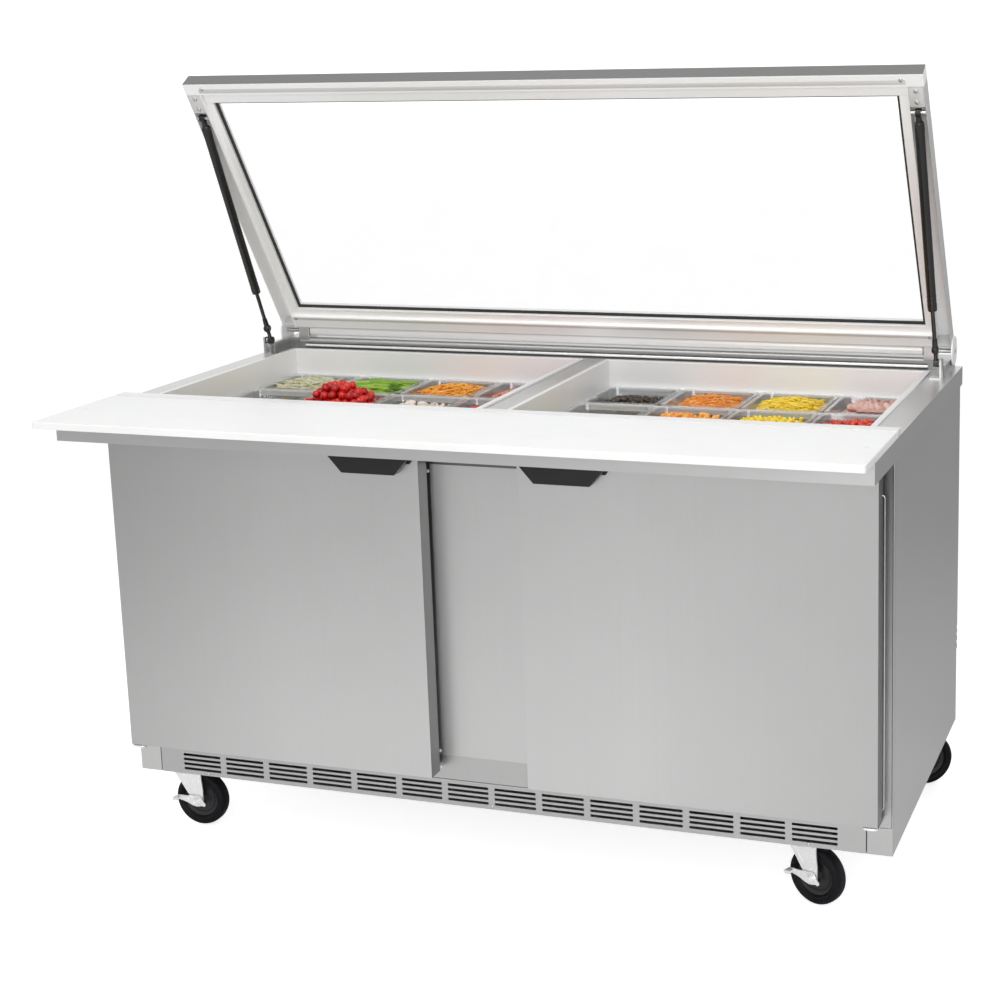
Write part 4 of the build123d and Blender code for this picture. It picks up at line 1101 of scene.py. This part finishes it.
def wire_shelves():
    low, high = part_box("wire_shelves")
    wires = bmesh.new()
    frame_r, wire_r = 3.6 * mm, 2 * mm
    gap, count = 12 * mm, 24
    for side in sides.values():
        x_low, x_high = sorted((side * gap, side * high.x))
        half_x, half_y = (x_high - x_low) / 2 - frame_r, (high.y - low.y) / 2 - frame_r
        centre = ((x_high + x_low) / 2, (high.y + low.y) / 2)
        border = rounded(half_x, half_y, 14 * mm, centre)
        z = low.z + frame_r
        tube(wires, [(x, y, z) for x, y in border + border[:2]], frame_r, 10)
        for y in (-0.34, 0.34):
            ends = [(centre[0] + k * half_x, centre[1] + y * 2 * half_y, z + 0.3 * mm)
                    for k in (-1, -0.3, 0.3, 1)]
            tube(wires, ends, 3 * mm, 10)
        for i in range(1, count):
            x = centre[0] - half_x + 2 * half_x * i / count
            top = low.z + 2 * frame_r - 0.8 * mm
            run = ((-1, -1.5), (-0.96, 0), (0, 0), (0.96, 0), (1, -1.5))
            tube(wires, [(x, centre[1] + k * half_y, top + lift * mm) for k, lift in run], wire_r, 8)
    piece("round_wire_shelves", wires, "root", "shelf_wire", smooth=60,
          replaced=["wire_shelves"])


for name in sides:
    door_seal(name)
wire_shelves()

for name, width in (
    ("door_shell_left", 0.8), ("door_shell_right", 0.8), ("steel_top", 0.8), ("side_panel_left", 0.8),
    ("side_panel_right", 0.8), ("lid_front_rail", 1.2), ("lid_side_rails", 0.5), ("lid_rear_rail", 0.6),
    ("well_liner_left", 0.7), ("well_liner_right", 0.7), ("front_grille", 0.3), ("mullion_panel", 0.4),
    ("door_handle_left", 0.8), ("door_handle_right", 0.8), ("back_panel", 0.5), ("lid_hinge_discs", 0.8),
    ("strut_deck_brackets", 0.6), ("hinge_riser", 0.8),
):
    soften(name, width * mm)


# ============================== studio ========================================================

camera_data = bpy.data.cameras.new("camera")
camera_data.lens = 67.11
camera_data.sensor_width = 36.0
camera_data.shift_x, camera_data.shift_y = -0.1428, -0.0903
camera = bpy.data.objects.new("camera", camera_data)
bpy.context.scene.collection.objects.link(camera)
yaw, pitch, roll = 0.3248, 0.199, -0.0221
forward = Vector((-math.sin(yaw) * math.cos(pitch), math.cos(yaw) * math.cos(pitch), -math.sin(pitch)))
level_right = Vector((math.cos(yaw), math.sin(yaw), 0))
level_up = level_right.cross(forward)
right = level_right * math.cos(roll) + level_up * math.sin(roll)
up = level_up * math.cos(roll) - level_right * math.sin(roll)
camera.matrix_world = basis(Vector((1.3322, -3.2474, 1.5530)), right, up, -forward)
bpy.context.scene.camera = camera
bpy.context.scene.view_settings.view_transform = "Standard"


def softbox(name, place, target, width, height, power):
    data = bpy.data.lights.new(name, "AREA")
    data.shape, data.size, data.size_y, data.energy = "RECTANGLE", width, height, power
    light = bpy.data.objects.new(name, data)
    bpy.context.scene.collection.objects.link(light)
    place, target = Vector(place), Vector(target)
    light.matrix_world = facing(place, place - target)


softbox("overhead", (0.2, -1.5, 3.7), (0.0, -0.1, 0.8), 3.0, 1.6, 58)
softbox("front_fill", (1.2, -4.6, 1.7), (0.0, 0.0, 0.6), 2.6, 1.8, 62)

world = bpy.data.worlds.new("studio")
bpy.context.scene.world = world
world.use_nodes = True
sky = world.node_tree
background = sky.nodes["Background"]
background.inputs["Strength"].default_value = 1.25
direction = sky.nodes.new("ShaderNodeTexCoord").outputs["Generated"]
parts = sky.nodes.new("ShaderNodeSeparateXYZ")
sky.links.new(direction, parts.inputs[0])


def sky_ramp(source, stops, low, high):
    spread = sky.nodes.new("ShaderNodeMapRange")
    spread.inputs["From Min"].default_value = low
    spread.inputs["From Max"].default_value = high
    sky.links.new(source, spread.inputs["Value"])
    ramp = sky.nodes.new("ShaderNodeValToRGB")
    ramp.color_ramp.interpolation = "EASE"
    while len(ramp.color_ramp.elements) < len(stops):
        ramp.color_ramp.elements.new(0.5)
    for element, (position, value) in zip(ramp.color_ramp.elements, stops):
        element.position = position
        element.color = (value, value, value, 1)
    sky.links.new(spread.outputs["Result"], ramp.inputs["Fac"])
    return ramp.outputs["Color"]


back_stops = [(0.0, 0.4), (0.5, 0.45), (0.54, 1.0), (0.66, 0.9), (0.8, 0.35), (1.0, 0.3)]
back_tone = sky_ramp(parts.outputs["Z"], back_stops, -1, 1)
front_tone = sky_ramp(parts.outputs["Z"], [(0.0, 0.6), (0.5, 0.62), (0.7, 0.6), (1.0, 0.35)], -1, 1)
behind = sky_ramp(parts.outputs["Y"], [(0.0, 0.0), (1.0, 1.0)], -0.3, 0.3)
tones = sky.nodes.new("ShaderNodeMixRGB")
sky.links.new(behind, tones.inputs["Fac"])
sky.links.new(front_tone, tones.inputs["Color1"])
sky.links.new(back_tone, tones.inputs["Color2"])
seen = sky.nodes.new("ShaderNodeLightPath").outputs["Is Camera Ray"]
choose = sky.nodes.new("ShaderNodeMixRGB")
sky.links.new(seen, choose.inputs["Fac"])
sky.links.new(tones.outputs["Color"], choose.inputs["Color1"])
choose.inputs["Color2"].default_value = (1, 1, 1, 1)
sky.links.new(choose.outputs["Color"], background.inputs["Color"])

floor_bm = bmesh.new()
bmesh.ops.create_grid(floor_bm, x_segments=1, y_segments=1, size=30)
floor_mesh = bpy.data.meshes.new("floor")
floor_bm.to_mesh(floor_mesh)
floor_bm.free()
floor = bpy.data.objects.new("floor", floor_mesh)
bpy.context.scene.collection.objects.link(floor)
floor.location.z = -0.0005
floor_tree = Tree("pale_floor")
floor_run = floor_tree.along("Y", -5.0, 5.0)
floor_mix = floor_tree.weigh([(floor_run, 0.98), (floor_tree.noise((2, 2, 2)), 0.02)])
# The floor's tone peaks just in front of the unit and falls off behind it and far in front: painted shade,
# so the steel mirrors a darker floor there.
floor_tones = [(0.0, 0.55), (0.3, 0.75), (0.42, 0.98), (0.52, 0.8), (0.6, 0.6), (0.75, 0.4), (1.0, 0.4)]
floor_tree.finish(
    floor_tree.ramp(floor_mix, [(place, grey(tone)) for place, tone in floor_tones]),
    floor_tree.span(floor_tree.noise((3, 3, 3)), 0.6, 0.7),
)
glow = floor_tree.add("ShaderNodeEmission")
glow.inputs["Color"].default_value = (1, 1, 1, 1)
glow_seen = floor_tree.add("ShaderNodeLightPath").outputs["Is Camera Ray"]
floor_tree.feed(floor_tree.span(glow_seen, 0.0, 0.72), glow.inputs["Strength"])
both = floor_tree.add("ShaderNodeAddShader")
floor_tree.feed(floor_tree.shader.outputs[0], both.inputs[0])
floor_tree.feed(glow.outputs[0], both.inputs[1])
floor_tree.feed(both.outputs[0], floor_tree.output.inputs["Surface"])
floor_mesh.materials.append(floor_tree.material)
